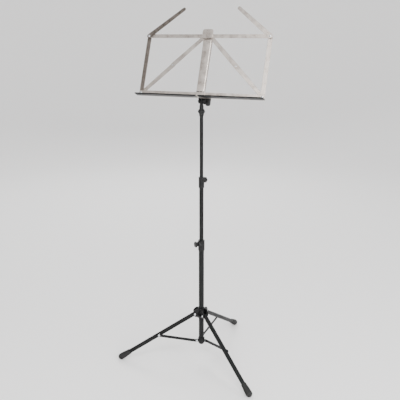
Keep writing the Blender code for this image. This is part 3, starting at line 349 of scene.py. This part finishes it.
def moulded_black_plastic():
    """Carbon-black nylon from an etched mould: satin, an even fine grain, and faint flow clouds."""
    made, tree, shader = new_material("etched_moulded_nylon", Specular_IOR_Level=0.25)
    place = add_node(tree, "TexCoord").outputs["Object"]
    grain = add_node(tree, "TexVoronoi", {"Vector": place, "Scale": cells(0.7 * MM)}, feature="SMOOTH_F1")
    flow = add_node(tree, "TexNoise", {"Vector": place, "Scale": cells(14 * MM), "Detail": 3.0})
    tree.links.new(ramp(tree, flow.outputs["Fac"], "0C0C0D", "151516"), shader.inputs["Base Color"])
    dull = add_node(tree, "MapRange", {"Value": flow.outputs["Fac"], "From Min": 0.3, "From Max": 0.7,
                                       "To Min": 0.36, "To Max": 0.48})
    tree.links.new(dull.outputs["Result"], shader.inputs["Roughness"])
    bump = add_node(tree, "Bump", {"Height": grain.outputs["Distance"], "Strength": 0.25, "Distance": 0.06 * MM})
    tree.links.new(bump.outputs["Normal"], shader.inputs["Normal"])
    return made


def moulded_rubber():
    """Black rubber, compression moulded: almost matt, with a dusty bloom where it has been handled."""
    made, tree, shader = new_material("compression_moulded_rubber", Specular_IOR_Level=0.35)
    place = add_node(tree, "TexCoord").outputs["Object"]
    bloom = add_node(tree, "TexNoise", {"Vector": place, "Scale": cells(9 * MM), "Detail": 6.0, "Roughness": 0.65})
    skin = add_node(tree, "TexNoise", {"Vector": place, "Scale": cells(0.6 * MM), "Detail": 2.0})
    tree.links.new(ramp(tree, bloom.outputs["Fac"], "0E0E0E", "1B1A19"), shader.inputs["Base Color"])
    dull = add_node(tree, "MapRange", {"Value": bloom.outputs["Fac"], "From Min": 0.3, "From Max": 0.7,
                                       "To Min": 0.5, "To Max": 0.72})
    tree.links.new(dull.outputs["Result"], shader.inputs["Roughness"])
    bump = add_node(tree, "Bump", {"Height": skin.outputs["Fac"], "Strength": 0.3, "Distance": 0.05 * MM})
    tree.links.new(bump.outputs["Normal"], shader.inputs["Normal"])
    return made


def nickel_plated_strip(name, thin, thick):
    """Cold-rolled steel strip under dull nickel: a warm grey metal with fine rolling lines along its length and
    cloudy patches, of the thin colour where the plating is worn and of the thick colour elsewhere."""
    made, tree, shader = new_material(name, Metallic=1.0)
    flat = add_node(tree, "TexCoord").outputs["UV"]
    drawn = add_node(tree, "Mapping", {"Vector": flat, "Scale": (1 / (70 * MM), 1 / (0.9 * MM), 1.0)})
    lines = add_node(tree, "TexNoise", {"Vector": drawn.outputs["Vector"], "Scale": 1.0, "Detail": 4.0,
                                        "Roughness": 0.6})
    clouds = add_node(tree, "TexNoise", {"Vector": add_node(tree, "TexCoord").outputs["Object"],
                                         "Scale": cells(22 * MM), "Detail": 4.0, "Roughness": 0.55})
    colour = ramp(tree, clouds.outputs["Fac"], thin, thick, 0.25, 0.75)
    tree.links.new(colour, shader.inputs["Base Color"])
    both = add_node(tree, "Math", {0: lines.outputs["Fac"], 1: clouds.outputs["Fac"]}, operation="ADD")
    dull = add_node(tree, "MapRange", {"Value": both.outputs["Value"], "From Min": 0.6, "From Max": 1.4,
                                       "To Min": 0.22, "To Max": 0.36})
    tree.links.new(dull.outputs["Result"], shader.inputs["Roughness"])
    bump = add_node(tree, "Bump", {"Height": lines.outputs["Fac"], "Strength": 0.2, "Distance": 0.03 * MM})
    tree.links.new(bump.outputs["Normal"], shader.inputs["Normal"])
    return made


def zinc_plated_rivet():
    """Bright zinc on a cold-headed rivet: blue-grey and shiny, with a faint milky haze."""
    made, tree, shader = new_material("bright_zinc_plated_rivet", Metallic=1.0)
    place = add_node(tree, "TexCoord").outputs["Object"]
    haze = add_node(tree, "TexNoise", {"Vector": place, "Scale": cells(3 * MM), "Detail": 4.0})
    tree.links.new(ramp(tree, haze.outputs["Fac"], "B9BCC0", "DADCDD"), shader.inputs["Base Color"])
    dull = add_node(tree, "MapRange", {"Value": haze.outputs["Fac"], "From Min": 0.3, "From Max": 0.7,
                                       "To Min": 0.16, "To Max": 0.30})
    tree.links.new(dull.outputs["Result"], shader.inputs["Roughness"])
    return made


def natural_acetal():
    """Turned acetal in its natural milk white: waxy, with fine rings left by the tool."""
    made, tree, shader = new_material("turned_natural_acetal", Subsurface_Weight=0.08, Subsurface_Scale=0.002)
    place = add_node(tree, "TexCoord").outputs["Object"]
    rings = add_node(tree, "TexWave", {"Vector": place, "Scale": cells(6 * MM), "Distortion": 0.4},
                     bands_direction="Z")
    tree.links.new(ramp(tree, rings.outputs["Fac"], "DDD9CC", "E9E6DB", 0.0, 1.0), shader.inputs["Base Color"])
    dull = add_node(tree, "MapRange", {"Value": rings.outputs["Fac"], "To Min": 0.35, "To Max": 0.45})
    tree.links.new(dull.outputs["Result"], shader.inputs["Roughness"])
    return made


steel = powder_coated_steel()
nylon = moulded_black_plastic()
rubber = moulded_rubber()
nickel = nickel_plated_strip("nickel_plated_rolled_strip", "A0978F", "C4BCB5")
# A darker copy of the same nickel: painted shade for the left side strut and page arm, which stand in shade and
# reflect a darker surround.
shaded_nickel = nickel_plated_strip("painted_shade_nickel_rolled_strip", "665F59", "7E766F")
zinc = zinc_plated_rivet()
acetal = natural_acetal()


# ---------------------------------------------------------------- profiles that repeat
def filled(profile, step):
    """Adds points to a profile so that none are further apart than a step, by its length so far."""
    length = np.concatenate(([0], np.cumsum(np.linalg.norm(np.diff(profile, axis=0), axis=1))))
    spots = np.union1d(length, np.arange(0, length[-1], step))
    return np.stack([np.interp(spots, length, profile[:, i]) for i in (0, 1)], 1)


def ring_profile(points, radius):
    """An eased closed section, ending where it starts, so that turning it makes a closed ring."""
    section = eased(points, radius)
    return np.concatenate((section, section[:1]))


def smooth(t):
    """A soft step from 0 to 1: 3t^2 - 2t^3."""
    t = np.clip(t, 0, 1)
    return t * t * (3 - 2 * t)


def middle_of(node):
    return corners_of(node).mean(0)


def node_plate(node, outline, origin, along, across, edge=STRIP_EDGE, belly=0.0):
    """A plate with the thickness and the layer that its node has."""
    low, high = span(node, np.cross(unit(along), unit(across)), origin)
    return plate(outline, low, high, edge, origin, along, across, belly)


def rivet(node, direction, finish, head=1.6 * MM, shank=2.2 * MM, tail=0.8 * MM, tail_radius=3.2 * MM, sink=None):
    """A domed head, a shank and a peened tail, turned round the node's own middle line."""
    origin, direction = middle_of(node), unit(direction)
    low, high = span(node, direction, origin)
    offset = corners_of(node) - origin
    reach = np.linalg.norm(offset - np.outer(offset @ direction, direction), axis=1).max()
    dome = arc((0, 0), 1.0, 90, 8, 10) * (reach, head * 0.86) + (0, high - head * 0.86)
    foot = high - head
    below = [(reach, foot + 0.15 * MM), (reach * 0.97, foot), (shank, foot), (shank, low + tail),
             (tail_radius, low + tail), (tail_radius, low + tail * 0.5), (tail_radius * 0.8, low), (0, low)]
    profile = np.concatenate((filled(dome, 0.25 * MM), below))
    shell = turned(profile, origin, direction, 48)
    if sink is not None:
        shell = sink(shell, origin, direction, high, reach)
    return stand_for(node, [shell], finish)


# ---------------------------------------------------------------- tubes, collars and knobs
def sliding_tube(node):
    """A tube with its two cut ends deburred."""
    (low, high), radius = span(node, Z), span(node, X, CENTRE)[1]
    bore = radius - TUBE_WALL
    section = ring_profile(((radius, high), (radius, low), (bore, low), (bore, high)), TUBE_LIP)
    stand_for(node, [turned(section, CENTRE, Z, 96)], steel)


def clamp_collar(node, joint, lower_tube, upper_tube):
    """A turned collar whose wall swells into a flat-faced boss round the screw: inside the boss's flat the radius
    is reach / cos(turn), and it eases back to the collar's own radius by the boss's spread."""
    low, high = span(node, Z)
    facing_to = unit(swing[joint])
    radius = span(node, np.cross(Z, facing_to), CENTRE)[1]
    reach = span(node, facing_to, CENTRE)[1]
    first, second = square_to(Z)
    facing, height_of_screw = math.atan2(facing_to @ second, facing_to @ first), pivot[joint][2]
    seat = span(lower_tube, X, CENTRE)[1] + 0.3 * MM
    bore = span(upper_tube, X, CENTRE)[1] + 0.4 * MM
    step = span(lower_tube, Z)[1] + 0.3 * MM
    lip = 0.9 * MM

    def boss(angle, height, r):
        turn = (angle - facing + math.pi) % (2 * math.pi) - math.pi
        away = np.hypot(radius * turn, height - height_of_screw)
        lift = smooth((BOSS_SPREAD - away) / (BOSS_SPREAD - BOSS_FLAT)) * (r > radius - lip / 2)
        return r + lift * (reach / np.maximum(np.cos(turn), 0.3) - r)

    outline = ((radius, high), (radius, low), (seat, low), (seat, step), (bore, step), (bore, high))
    section = ring_profile(outline, (lip, lip, 0.3 * MM, 0.2 * MM, 0.2 * MM, 0.3 * MM))
    stand_for(node, [turned(filled(section, 0.8 * MM), CENTRE, Z, 144, boss)], nylon)


def clamp_knob(node, joint, screw=3.0 * MM):
    """A lobed grip on its screw. Round the grip the radius dips between the lobes by (1 - cos(n a)) / 2."""
    direction = unit(swing[joint])
    origin = CENTRE + Z * pivot[joint][2]
    tip, face = span(node, direction, origin)
    offset = corners_of(node) - origin
    along = offset @ direction
    away = np.linalg.norm(offset - np.outer(along, direction), axis=1)
    radius, shoulder = away.max(), along[away > screw * 1.15].min()
    length, neck = face - shoulder, radius * 0.66
    profile = eased(((0, tip), (screw, tip), (screw, shoulder), (neck, shoulder), (neck, shoulder + length * 0.24),
                     (radius, shoulder + length * 0.36), (radius, face - 0.4 * MM), (radius * 0.62, face),
                     (radius * 0.5, face - 0.7 * MM), (0, face - 0.5 * MM)),
                    np.array((0, 0.5, 0.2, 0.5, 1.2, 1.6, 1.6, 0.8, 0.8, 0)) * MM, closed=False)

    def lobes(angle, height, r):
        grip = smooth((r - neck) / (radius * 0.9 - neck))
        return r * (1 - KNOB_DIP * grip * (1 - np.cos(KNOB_LOBES * angle)) / 2)

    stand_for(node, [turned(profile, origin, direction, 120, lobes)], nylon)


def end_cap():
    """A plug with a flange under the base tube."""
    low, high = span("base_end_cap", Z)
    radius = span("base_end_cap", X, CENTRE)[1]
    seat = span("base_tube", Z)[0] - 0.3 * MM
    plug, bore = radius - TUBE_WALL - 0.3 * MM, 3.3 * MM
    outline = ((plug, high), (plug, seat), (radius, seat), (radius - 0.8 * MM, low), (bore, low), (bore, high))
    section = ring_profile(outline, np.array((0.6, 0.1, 0.4, 1.0, 0.2, 0.2)) * MM)
    stand_for("base_end_cap", [turned(section, CENTRE, Z, 72)], nylon)


def cross_recess(shell, origin, direction, high, reach):
    """Sinks a cross in a screw's head: the depth falls off away from the nearer of the two arms."""
    grid, flat_uv, closed = shell
    first, second = square_to(direction)
    offset = grid - origin
    a, b = offset @ first, offset @ second
    arm = np.minimum(np.abs(a), np.abs(b))
    out = np.maximum(np.abs(a), np.abs(b))
    sunk = smooth((0.75 * MM - arm) / (0.35 * MM)) * smooth((reach * 0.62 - out) / (0.4 * MM))
    on_head = (offset @ direction) > high - 2.0 * MM
    return grid - (sunk * on_head * 1.1 * MM)[..., None] * direction, flat_uv, closed


# ---------------------------------------------------------------- tripod
def leg_hub():
    """A sleeve, a boss for its screw, and two ears beside each leg."""
    low, high = span("leg_hub", Z)
    bore = span("base_tube", X, CENTRE)[1] + 0.4 * MM
    radius = bore + HUB_WALL
    section = ring_profile(((radius, high), (radius, low), (bore, low), (bore, high)), 1.0 * MM)
    shells = [turned(section, CENTRE, Z, 96)]
    for leg in LEGS:
        place, across = pivot["leg_fold_" + leg], swing["leg_fold_" + leg]
        radial = unit((place - CENTRE) * (1, 1, 0))
        inner = span("leg_" + leg, across, place)[1] + GAP
        rim = arc(HUB_EAR_CENTRE, HUB_EAR_RADIUS, -55, 90, 20)
        outline = np.concatenate((rim, [(HUB_EAR_ROOT, rim[-1][1]), (HUB_EAR_ROOT, rim[0][1])]))
        at = CENTRE + Z * place[2]
        for start in (inner, -inner - EAR):
            shells.append(plate(outline, start, start + EAR, 0.9 * MM, at, radial, Z))
    direction = unit(swing["hub_knob_turn"])
    wide, slim = HUB_BOSS_RADII
    boss = eased(((0, 11 * MM), (wide, 11 * MM), (slim, HUB_BOSS_REACH), (0, HUB_BOSS_REACH)), 0.8 * MM,
                 closed=False)
    shells.append(turned(boss, CENTRE + Z * pivot["hub_knob_turn"][2], direction, 48))
    stand_for("leg_hub", shells, nylon)


def brace_collar():
    """A ring on the base tube's foot, with one ear beside each brace."""
    bore = span("base_tube", X, CENTRE)[1] + 0.15 * MM
    radius = bore + RING_WALL
    low, high = span("brace_collar", Z)
    section = ring_profile(((radius, high), (radius, low), (bore, low), (bore, high)), 0.9 * MM)
    shells = [turned(section, CENTRE, Z, 96)]
    for leg in LEGS:
        place, across = pivot["brace_fold_" + leg], unit(swing["brace_fold_" + leg])
        radial = unit((place - CENTRE) * (1, 1, 0))
        out = np.linalg.norm((place - CENTRE) * (1, 1, 0))
        half, root = BRACE_WIDTH / 2, 9.4 * MM
        outline = np.concatenate(([(root, -half)], arc((out, 0), half, -90, 90, 20), [(root, half)]))
        near = span("brace_" + leg, across, place)[0] - GAP
        shells.append(plate(outline, near - EAR, near, 0.8 * MM, CENTRE + Z * place[2], radial, -Z))
    stand_for("brace_collar", shells, nylon)


def tripod_leg(leg):
    """A coated tube with a closed, rounded top, its rubber foot, its pin, and its flat brace with two rivets."""
    place, across = pivot["leg_fold_" + leg], unit(swing["leg_fold_" + leg])
    foot_radius = span("foot_" + leg, across, place)[1]
    ball = mount["foot_rest_" + leg] + Z * (foot_radius - 0.6 * MM)
    down = unit(ball - place)
    low, high = span("leg_" + leg, down, place)
    radius = span("leg_" + leg, across, place)[1]
    turn = np.radians(np.linspace(0, 90, 14))
    nose = np.stack((radius * np.sin(turn), low + 5.2 * MM * (1 - np.cos(turn))), 1)
    profile = np.concatenate((nose, [(radius, high - TUBE_LIP), (radius - TUBE_LIP, high), (0, high)]))
    stand_for("leg_" + leg, [turned(profile, place, down, 72)], steel)

    back = span("foot_" + leg, down, ball)[0]
    mouth = radius + 1.9 * MM
    barrel = ((radius + 0.3 * MM, back + 3 * MM), (radius + 0.3 * MM, back), (mouth, back), (mouth, back + 5 * MM),
              (foot_radius * 0.90, back * 0.62), (foot_radius * 0.985, back * 0.3), (foot_radius, 0))
    barrel = eased(barrel, np.array((0, 0.3, 0.9, 2.5, 6, 6, 0)) * MM, closed=False)
    tip = arc((0, 0), foot_radius, 0, 90, 20)[1:]
    profile = np.concatenate(([(0, back + 3 * MM)], barrel, tip))
    grid, uv, closed = turned(profile, ball, down, 96)
    grid[..., 2] = np.maximum(grid[..., 2], 0)  # the rubber is worn flat where it stands
    stand_for("foot_" + leg, [(grid, uv, closed)], rubber)

    low, high = span("leg_pin_" + leg, across, place)
    head, reach, shank = 1.6 * MM, 4.2 * MM, 2.8 * MM
    dome = arc((0, 0), 1.0, 90, 10, 8) * (reach, head * 0.85)
    upper = dome + (0, high - head * 0.85)
    lower = dome[::-1] * (1, -1) + (0, low + head * 0.85)
    profile = np.concatenate((upper, [(reach, high - head), (shank, high - head), (shank, low + head),
                                      (reach, low + head)], lower))
    stand_for("leg_pin_" + leg, [turned(profile, place, across, 48)], zinc)

    start, axis = pivot["brace_fold_" + leg], unit(swing["brace_fold_" + leg])
    end = middle_of("brace_rivet_" + leg)
    end = end - ((end - start) @ axis) * axis
    along = end - start
    outline = bar(np.linalg.norm(along), BRACE_WIDTH)
    shell = node_plate("brace_" + leg, outline, start, along, np.cross(axis, unit(along)), 0.6 * MM)
    stand_for("brace_" + leg, [shell], steel)
    rivet("brace_pin_" + leg, axis, zinc)
    rivet("brace_rivet_" + leg, axis, zinc, tail=0.3 * MM, tail_radius=2.2 * MM)


# ---------------------------------------------------------------- head
def top_socket():
    """A moulded socket: a slim sleeve with a short flare round its middle."""
    low, high = span("top_socket", Z)
    waist, widest = low + 16 * MM, span("top_socket", X, CENTRE)[1]
    tube, seat = span("upper_tube", X, CENTRE)[1], span("upper_tube", Z)[1] + 0.3 * MM
    sleeve, stem = tube + 1.8 * MM, 5.2 * MM
    outline = ((7.5 * MM, high), (7.5 * MM, waist + 9 * MM), (widest, waist + 2 * MM), (widest, waist - 2 * MM),
               (sleeve, waist - 9 * MM), (sleeve, low), (tube + 0.3 * MM, low), (tube + 0.3 * MM, seat),
               (stem, seat), (stem, high))
    section = ring_profile(outline, np.array((0.7, 2.5, 1.6, 1.6, 2.5, 0.7, 0.3, 0.3, 0.3, 0.3)) * MM)
    stand_for("top_socket", [turned(section, CENTRE, Z, 96)], nylon)


def head_stem():
    """The swivelling stem and the flat lug that the fork is clamped to."""
    low, high = span("head_stem", Z)
    tilt = pivot["desk_tilt"]
    base = span("top_socket", Z)[1] + 0.3 * MM
    rise = 4 * MM
    profile = eased(((0, low), (STEM_RADIUS, low), (STEM_RADIUS, base), (NECK_RADIUS, base),
                     (NECK_RADIUS, base + rise), (0, base + rise)), np.array((0, 0.8, 0.2, 0.6, 1.2, 0)) * MM,
                    closed=False)
    foot = base + rise * 0.5 - tilt[2]
    wide, half = LUG_HALF
    outline = np.concatenate(([(-wide, foot), (wide, foot)], arc((0, 0), high - tilt[2], -10, 190, 32)))
    shells = [turned(profile, CENTRE, Z, 72), plate(outline, -half, half, 0.8 * MM, tilt, (0, 1, 0), Z)]
    stand_for("head_stem", shells, steel)


def tilt_fork():
    """A plate on the post's back with two cheeks that hold the lug, each with a round boss for the bolt."""
    tilt = pivot["desk_tilt"]
    top, reach = span("tilt_fork", UP, tilt)[1], span("tilt_fork", X, tilt)[1]
    half = CHEEK_INSIDE + CHEEK + 0.2 * MM
    top = max(top, 29.5 * MM)
    foot = span("centre_post", UP, tilt)[0]
    front = span("tilt_fork", OUT, tilt)[1]
    shells = [plate(box_outline((-half, foot), (half, top), 1.5 * MM), front - CHEEK, front, 0.6 * MM, tilt, X, UP)]
    radius = span("tilt_fork", -OUT, tilt)[1]
    root, shoulder = -front + 1.5 * MM, foot + 13.5 * MM
    outline = np.concatenate(([(root, foot + 1.5 * MM)], arc((0, 0), radius, -90, 90, 24),
                              [(root + 10 * MM, shoulder), (root, shoulder)]))
    boss = eased(((0, BOLT_BOSS_START), (BOLT_BOSS_RADIUS, BOLT_BOSS_START), (BOLT_BOSS_RADIUS, reach), (0, reach)),
                 0.7 * MM, closed=False)
    for start, facing in ((CHEEK_INSIDE, X), (-CHEEK_INSIDE - CHEEK, -X)):
        shells.append(plate(outline, start, start + CHEEK, 0.6 * MM, tilt, -OUT, UP))
        shells.append(turned(boss, tilt, facing, 72))
    stand_for("tilt_fork", shells, steel)


def tilt_knob():
    """A waisted wing on a round hub, all its edges well rounded for the fingers."""
    tilt = pivot["desk_tilt"]
    start, face = span("tilt_knob", X, tilt)
    low, high = span("tilt_knob", UP, tilt)
    shoulder, inside = start + KNOB_HUB, start + KNOB_HUB * 1.3
    root, middle, tip = KNOB_HUB_RADII
    profile = eased(((0, start), (root, start), (middle, shoulder), (tip, inside), (0, inside)),
                    np.array((0, 0.8, 1.2, 1, 0)) * MM, closed=False)
    round_end = 10 * MM
    outline = bar(high - low - 2 * round_end, 2 * round_end) + (low + round_end, 0)
    outline = filled(np.concatenate((outline, outline[:1])), 1.2 * MM)[:-1]
    waist = 1 - 0.12 * np.cos(np.pi * np.clip(outline[:, 0] / (high - round_end), -1, 1) / 2) ** 2
    outline[:, 1] *= waist
    wing = plate(outline, shoulder, face, 4.6 * MM, tilt, UP, OUT, belly=0)
    stand_for("tilt_knob", [turned(profile, tilt, X, 72), wing], nylon)


# ---------------------------------------------------------------- desk
def centre_post():
    """A channel pressed from sheet: its section is a web with two flanges folded back, and its width grows evenly
    from foot to head."""
    origin = pivot["desk_tilt"]
    low, high = span("centre_post", UP, origin)
    front, back = span("centre_post", OUT, origin)[::-1]
    wall = POST_WALL
    corners = corners_of("centre_post") - origin
    lift = corners @ UP
    foot_half = np.abs(corners[lift < low + 1 * MM] @ X).max()
    head_half = np.abs(corners[lift > high - 1 * MM] @ X).max()
    half = (foot_half + head_half) / 2 - wall / 2
    face = front - wall / 2
    path = eased(((-half, back), (-half, face), (half, face), (half, back)), 3 * MM, 8, closed=False)

    def place(a, b, line):
        share = (line - low) / (high - low)
        widen = (foot_half + (head_half - foot_half) * share - wall / 2) / half
        return origin + (a * widen)[..., None] * X + b[..., None] * OUT + line[..., None] * UP

    stations = np.linspace(low + SHEET_EDGE, high - SHEET_EDGE, 24)
    stand_for("centre_post", [bent(path, wall, stations, place)], nickel)


def inner_pins(node, joint_word, top):
    """The two pins on a cover's back, peened behind the post."""
    shells = []
    for side in SIDES:
        place = pivot[joint_word + "_" + side]
        low, high = span(node, OUT, place)[0], top
        tail = low + 0.8 * MM
        root, tip = PEEN_RADII
        profile = ((0, high), (PIN_RADIUS, high), (PIN_RADIUS, tail), (root, tail), (tip, low), (0, low))
        shells.append(turned(eased(profile, 0.15 * MM, closed=False), place, OUT, 32))
    return shells


def top_cap():
    """The rounded plate over the upper inner pivots, with the spine behind it and its pins."""
    place = (pivot["top_strip_fold_left"] + pivot["top_strip_fold_right"]) / 2
    (left, right), (foot, top) = span("top_cap", X, place), span("top_cap", UP, place)
    low, high = span("top_cap", OUT, place)
    face = high - COVER
    outline = box_outline((left, foot), (right, top), 9 * MM)
    spine = box_outline((-3 * MM, foot + 1 * MM), (3 * MM, 11 * MM), 0.5 * MM)
    web = span("centre_post", OUT, place)[1] + 0.3 * MM
    shells = [plate(outline, face, high, 0.8 * MM, place, X, UP),
              plate(spine, web, face + 0.5 * MM, 0.2 * MM, place, X, UP)]
    stand_for("top_cap", shells + inner_pins("top_cap", "top_strip_fold", face + 0.5 * MM), nickel)


def centre_bracket():
    """The flat plate over the lower inner pivots, with its two pins."""
    place = (pivot["desk_fold_left"] + pivot["desk_fold_right"]) / 2
    (left, right), (foot, top) = span("centre_bracket", X, place), span("centre_bracket", UP, place)
    high = span("centre_bracket", OUT, place)[1]
    face = high - COVER
    shells = [plate(box_outline((left, foot), (right, top), 2 * MM), face, high, 0.6 * MM, place, X, UP)]
    stand_for("centre_bracket", shells + inner_pins("centre_bracket", "desk_fold", face + 0.5 * MM), nickel)


def flat_strip(node, origin, finish):
    """A strip with round ends: it runs from its pivot towards its node's middle, and takes its widths from the
    node's reach to the side within the last 10 mm at each end."""
    along = middle_of(node) - origin
    along = unit(along - (along @ OUT) * OUT)
    across = np.cross(OUT, along)
    offset = corners_of(node) - origin
    line, side = offset @ along, np.abs(offset @ across)
    start, end = side[line < line.min() + 10 * MM].max(), side[line > line.max() - 10 * MM].max()
    outline = bar(line.max() - end, 2 * start, 2 * end)
    stand_for(node, [node_plate(node, outline, origin, along, across)], finish)


def painted_shadow_marks():
    """Three short dark plates across the post's foot, just above the bracket: painted shadow, standing in for the
    shade in the gaps there.
    """
    place = (pivot["desk_fold_left"] + pivot["desk_fold_right"]) / 2
    face, foot = span("centre_post", OUT, place)[1], span("centre_bracket", UP, place)[1] + 1 * MM
    shells = []
    for left, right in SHADOW_MARK_SPANS:
        outline = box_outline((left * MM, foot), (right * MM, foot + SHADOW_MARK_HEIGHT), 0.8 * MM)
        shells.append(plate(outline, face - 0.5 * MM, face + 0.15 * MM, 0.1 * MM, place, X, UP))
    made = build("painted_shadow_marks", shells, nylon)
    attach(made, body_of["centre_post"])


def desk_half(side, sign):
    """One folding half: the ledge strip and its shelf, the side strut, the top strip, the two stay halves, the
    page arm and the rivets."""
    toward = X * sign
    inner, outer = pivot["desk_fold_" + side], pivot["side_strut_fold_" + side]
    ledge = "ledge_strip_" + side
    (foot, top), end = span(ledge, UP, inner), span(ledge, toward, inner)[1]
    root = arc((0, 0), top, 90, 225, 20)
    tip = eased(((0, foot), (end, foot), (end, top), (0, top)), 2.2 * MM, 6, closed=False)
    outline = np.concatenate((root, tip[:-1]))
    stand_for(ledge, [node_plate(ledge, outline, inner, toward, UP)], nickel)

    shelf = "shelf_" + side
    (start, finish), (low, high) = span(shelf, toward, inner), span(shelf, UP, inner)
    back, front = span(shelf, OUT, inner)
    half = SHEET / 2
    path = eased(((back + half, low + half), (front - half, low + half), (front - half, high - half)), 1.8 * MM, 8,
                 closed=False)

    def place(a, b, line):
        return inner + line[..., None] * toward + a[..., None] * OUT + b[..., None] * UP

    shelf_corners = corners_of(shelf) - inner
    behind = (shelf_corners @ OUT) < back + 0.5 * MM
    notch = (shelf_corners @ toward)[behind].min()
    cover = span("centre_bracket", OUT, inner)[1] + GAP + half
    tongue = path.copy()
    tongue[:, 0] = np.maximum(tongue[:, 0], cover)
    tongue = tongue[np.linalg.norm(tongue - np.roll(tongue, 1, 0), axis=1) > WELD]
    shells = [bent(path, SHEET, np.linspace(notch + SHEET_EDGE, finish - SHEET_EDGE, 30), place),
              bent(tongue, SHEET, np.linspace(start + SHEET_EDGE, notch + 2 * MM, 6), place)]
    stand_for(shelf, shells, steel)

    upper_inner, upper_outer = pivot["top_strip_fold_" + side], pivot["page_arm_turn_" + side]
    # On the left the side strut and page arm take the darker nickel: painted shade for the side that stands in
    # shade.
    darker = shaded_nickel if sign < 0 else nickel
    flat_strip("side_strut_" + side, outer, darker)
    flat_strip("top_strip_" + side, upper_inner, nickel)
    flat_strip("stay_inner_" + side, pivot["stay_inner_fold_" + side], nickel)
    flat_strip("stay_outer_" + side, pivot["stay_outer_fold_" + side], nickel)
    flat_strip("page_arm_" + side, upper_outer, darker)
    rivet("upper_corner_rivet_" + side, OUT, zinc)
    rivet("lower_corner_rivet_" + side, OUT, zinc)
    eye = middle_of("stay_rivet_" + side)
    low, high = span("stay_rivet_" + side, OUT, eye)
    head = ((0, high + 0.2 * MM), (2.2 * MM, high + 0.15 * MM), (3.1 * MM, high), (2.2 * MM, low), (0, low))
    stand_for("stay_rivet_" + side, [turned(eased(head, 0.3 * MM, closed=False), eye, OUT, 48)], zinc)


def make_stand():
    for node in ("base_tube", "middle_tube", "upper_tube"):
        sliding_tube(node)
    clamp_collar("lower_collar", "lower_knob_turn", "base_tube", "middle_tube")
    clamp_collar("upper_collar", "upper_knob_turn", "middle_tube", "upper_tube")
    for node, joint in (("lower_knob", "lower_knob_turn"), ("upper_knob", "upper_knob_turn"),
                        ("hub_knob", "hub_knob_turn")):
        clamp_knob(node, joint)
    end_cap()
    rivet("end_cap_screw", -Z, zinc, head=2.2 * MM, shank=3 * MM, tail=0.4 * MM, tail_radius=3 * MM,
          sink=cross_recess)
    leg_hub()
    brace_collar()
    for leg in LEGS:
        tripod_leg(leg)
    top_socket()
    head_stem()
    tilt_fork()
    rivet("tilt_bolt", -X, zinc, head=4 * MM, shank=3 * MM, tail=0.4 * MM, tail_radius=3 * MM)
    tilt_knob()
    centre_post()
    top_cap()
    centre_bracket()
    painted_shadow_marks()
    for side, sign in (("left", -1), ("right", 1)):
        desk_half(side, sign)
    for node in ("lower_bush", "middle_tube_guide"):
        mesh = frame["nodes"][node].data
        mesh.materials.clear()
        mesh.materials.append(acetal)


# ---------------------------------------------------------------- studio
def studio_floor():
    """A pale floor that sweeps up into walls all round: flat, then a quarter round, then straight up."""
    turn = np.radians(np.linspace(0, 90, 24))
    curve = np.stack((FLOOR_RADIUS + SWEEP_RADIUS * np.sin(turn), SWEEP_RADIUS * (1 - np.cos(turn))), 1)
    profile = np.concatenate(([(0, 0)], curve, [(FLOOR_RADIUS + SWEEP_RADIUS, SWEEP_HEIGHT)]))
    paper, _, shader = new_material("matt_white_paper", Roughness=0.9, Specular_IOR_Level=0.1)
    shader.inputs["Base Color"].default_value = linear("FBFAF9")
    floor = build("floor", [turned(profile, (0, 0, -0.3 * MM), Z, 96)], paper)


def soft_light(name, place, target, size, power, colour="FFFFFF"):
    lamp = bpy.data.lights.new(name, "AREA")
    lamp.shape = "RECTANGLE"
    lamp.size, lamp.size_y = size
    lamp.energy = power
    lamp.color = linear(colour)[:3]
    holder = bpy.data.objects.new(name, lamp)
    bpy.context.scene.collection.objects.link(holder)
    aim = unit(np.array(target) - np.array(place))
    across, upward = square_to(-aim)
    turn = Matrix(np.stack((across, upward, -aim), 1).tolist())
    holder.matrix_world = Matrix.Translation(place) @ turn.to_4x4()


def light_studio():
    world = bpy.data.worlds.new("studio")
    bpy.context.scene.world = world
    world.use_nodes = True
    world.node_tree.nodes["Background"].inputs["Color"].default_value = linear("F7F8FA")
    world.node_tree.nodes["Background"].inputs["Strength"].default_value = 1.0
    middle = (0, 0, 0.7)
    soft_light("key", (0.4, -2.6, 3.0), middle, (1.8, 1.2), 70)
    soft_light("fill_right", (3.0, -0.6, 1.8), middle, (1.4, 2.2), 40)
    soft_light("front_right", (1.8, -2.1, 1.5), middle, (0.9, 1.6), 50)
    soft_light("rim_back", (-1.6, 2.8, 2.6), middle, (2.0, 1.4), 70)


def place_camera():
    lens = bpy.data.cameras.new("camera")
    lens.lens = CAMERA_LENS
    camera = bpy.data.objects.new("camera", lens)
    bpy.context.scene.collection.objects.link(camera)
    camera.location = CAMERA_PLACE
    camera.rotation_euler = (math.radians(90 - CAMERA_PITCH), 0, math.radians(CAMERA_TURN))
    bpy.context.scene.camera = camera


make_stand()
studio_floor()
light_studio()
place_camera()
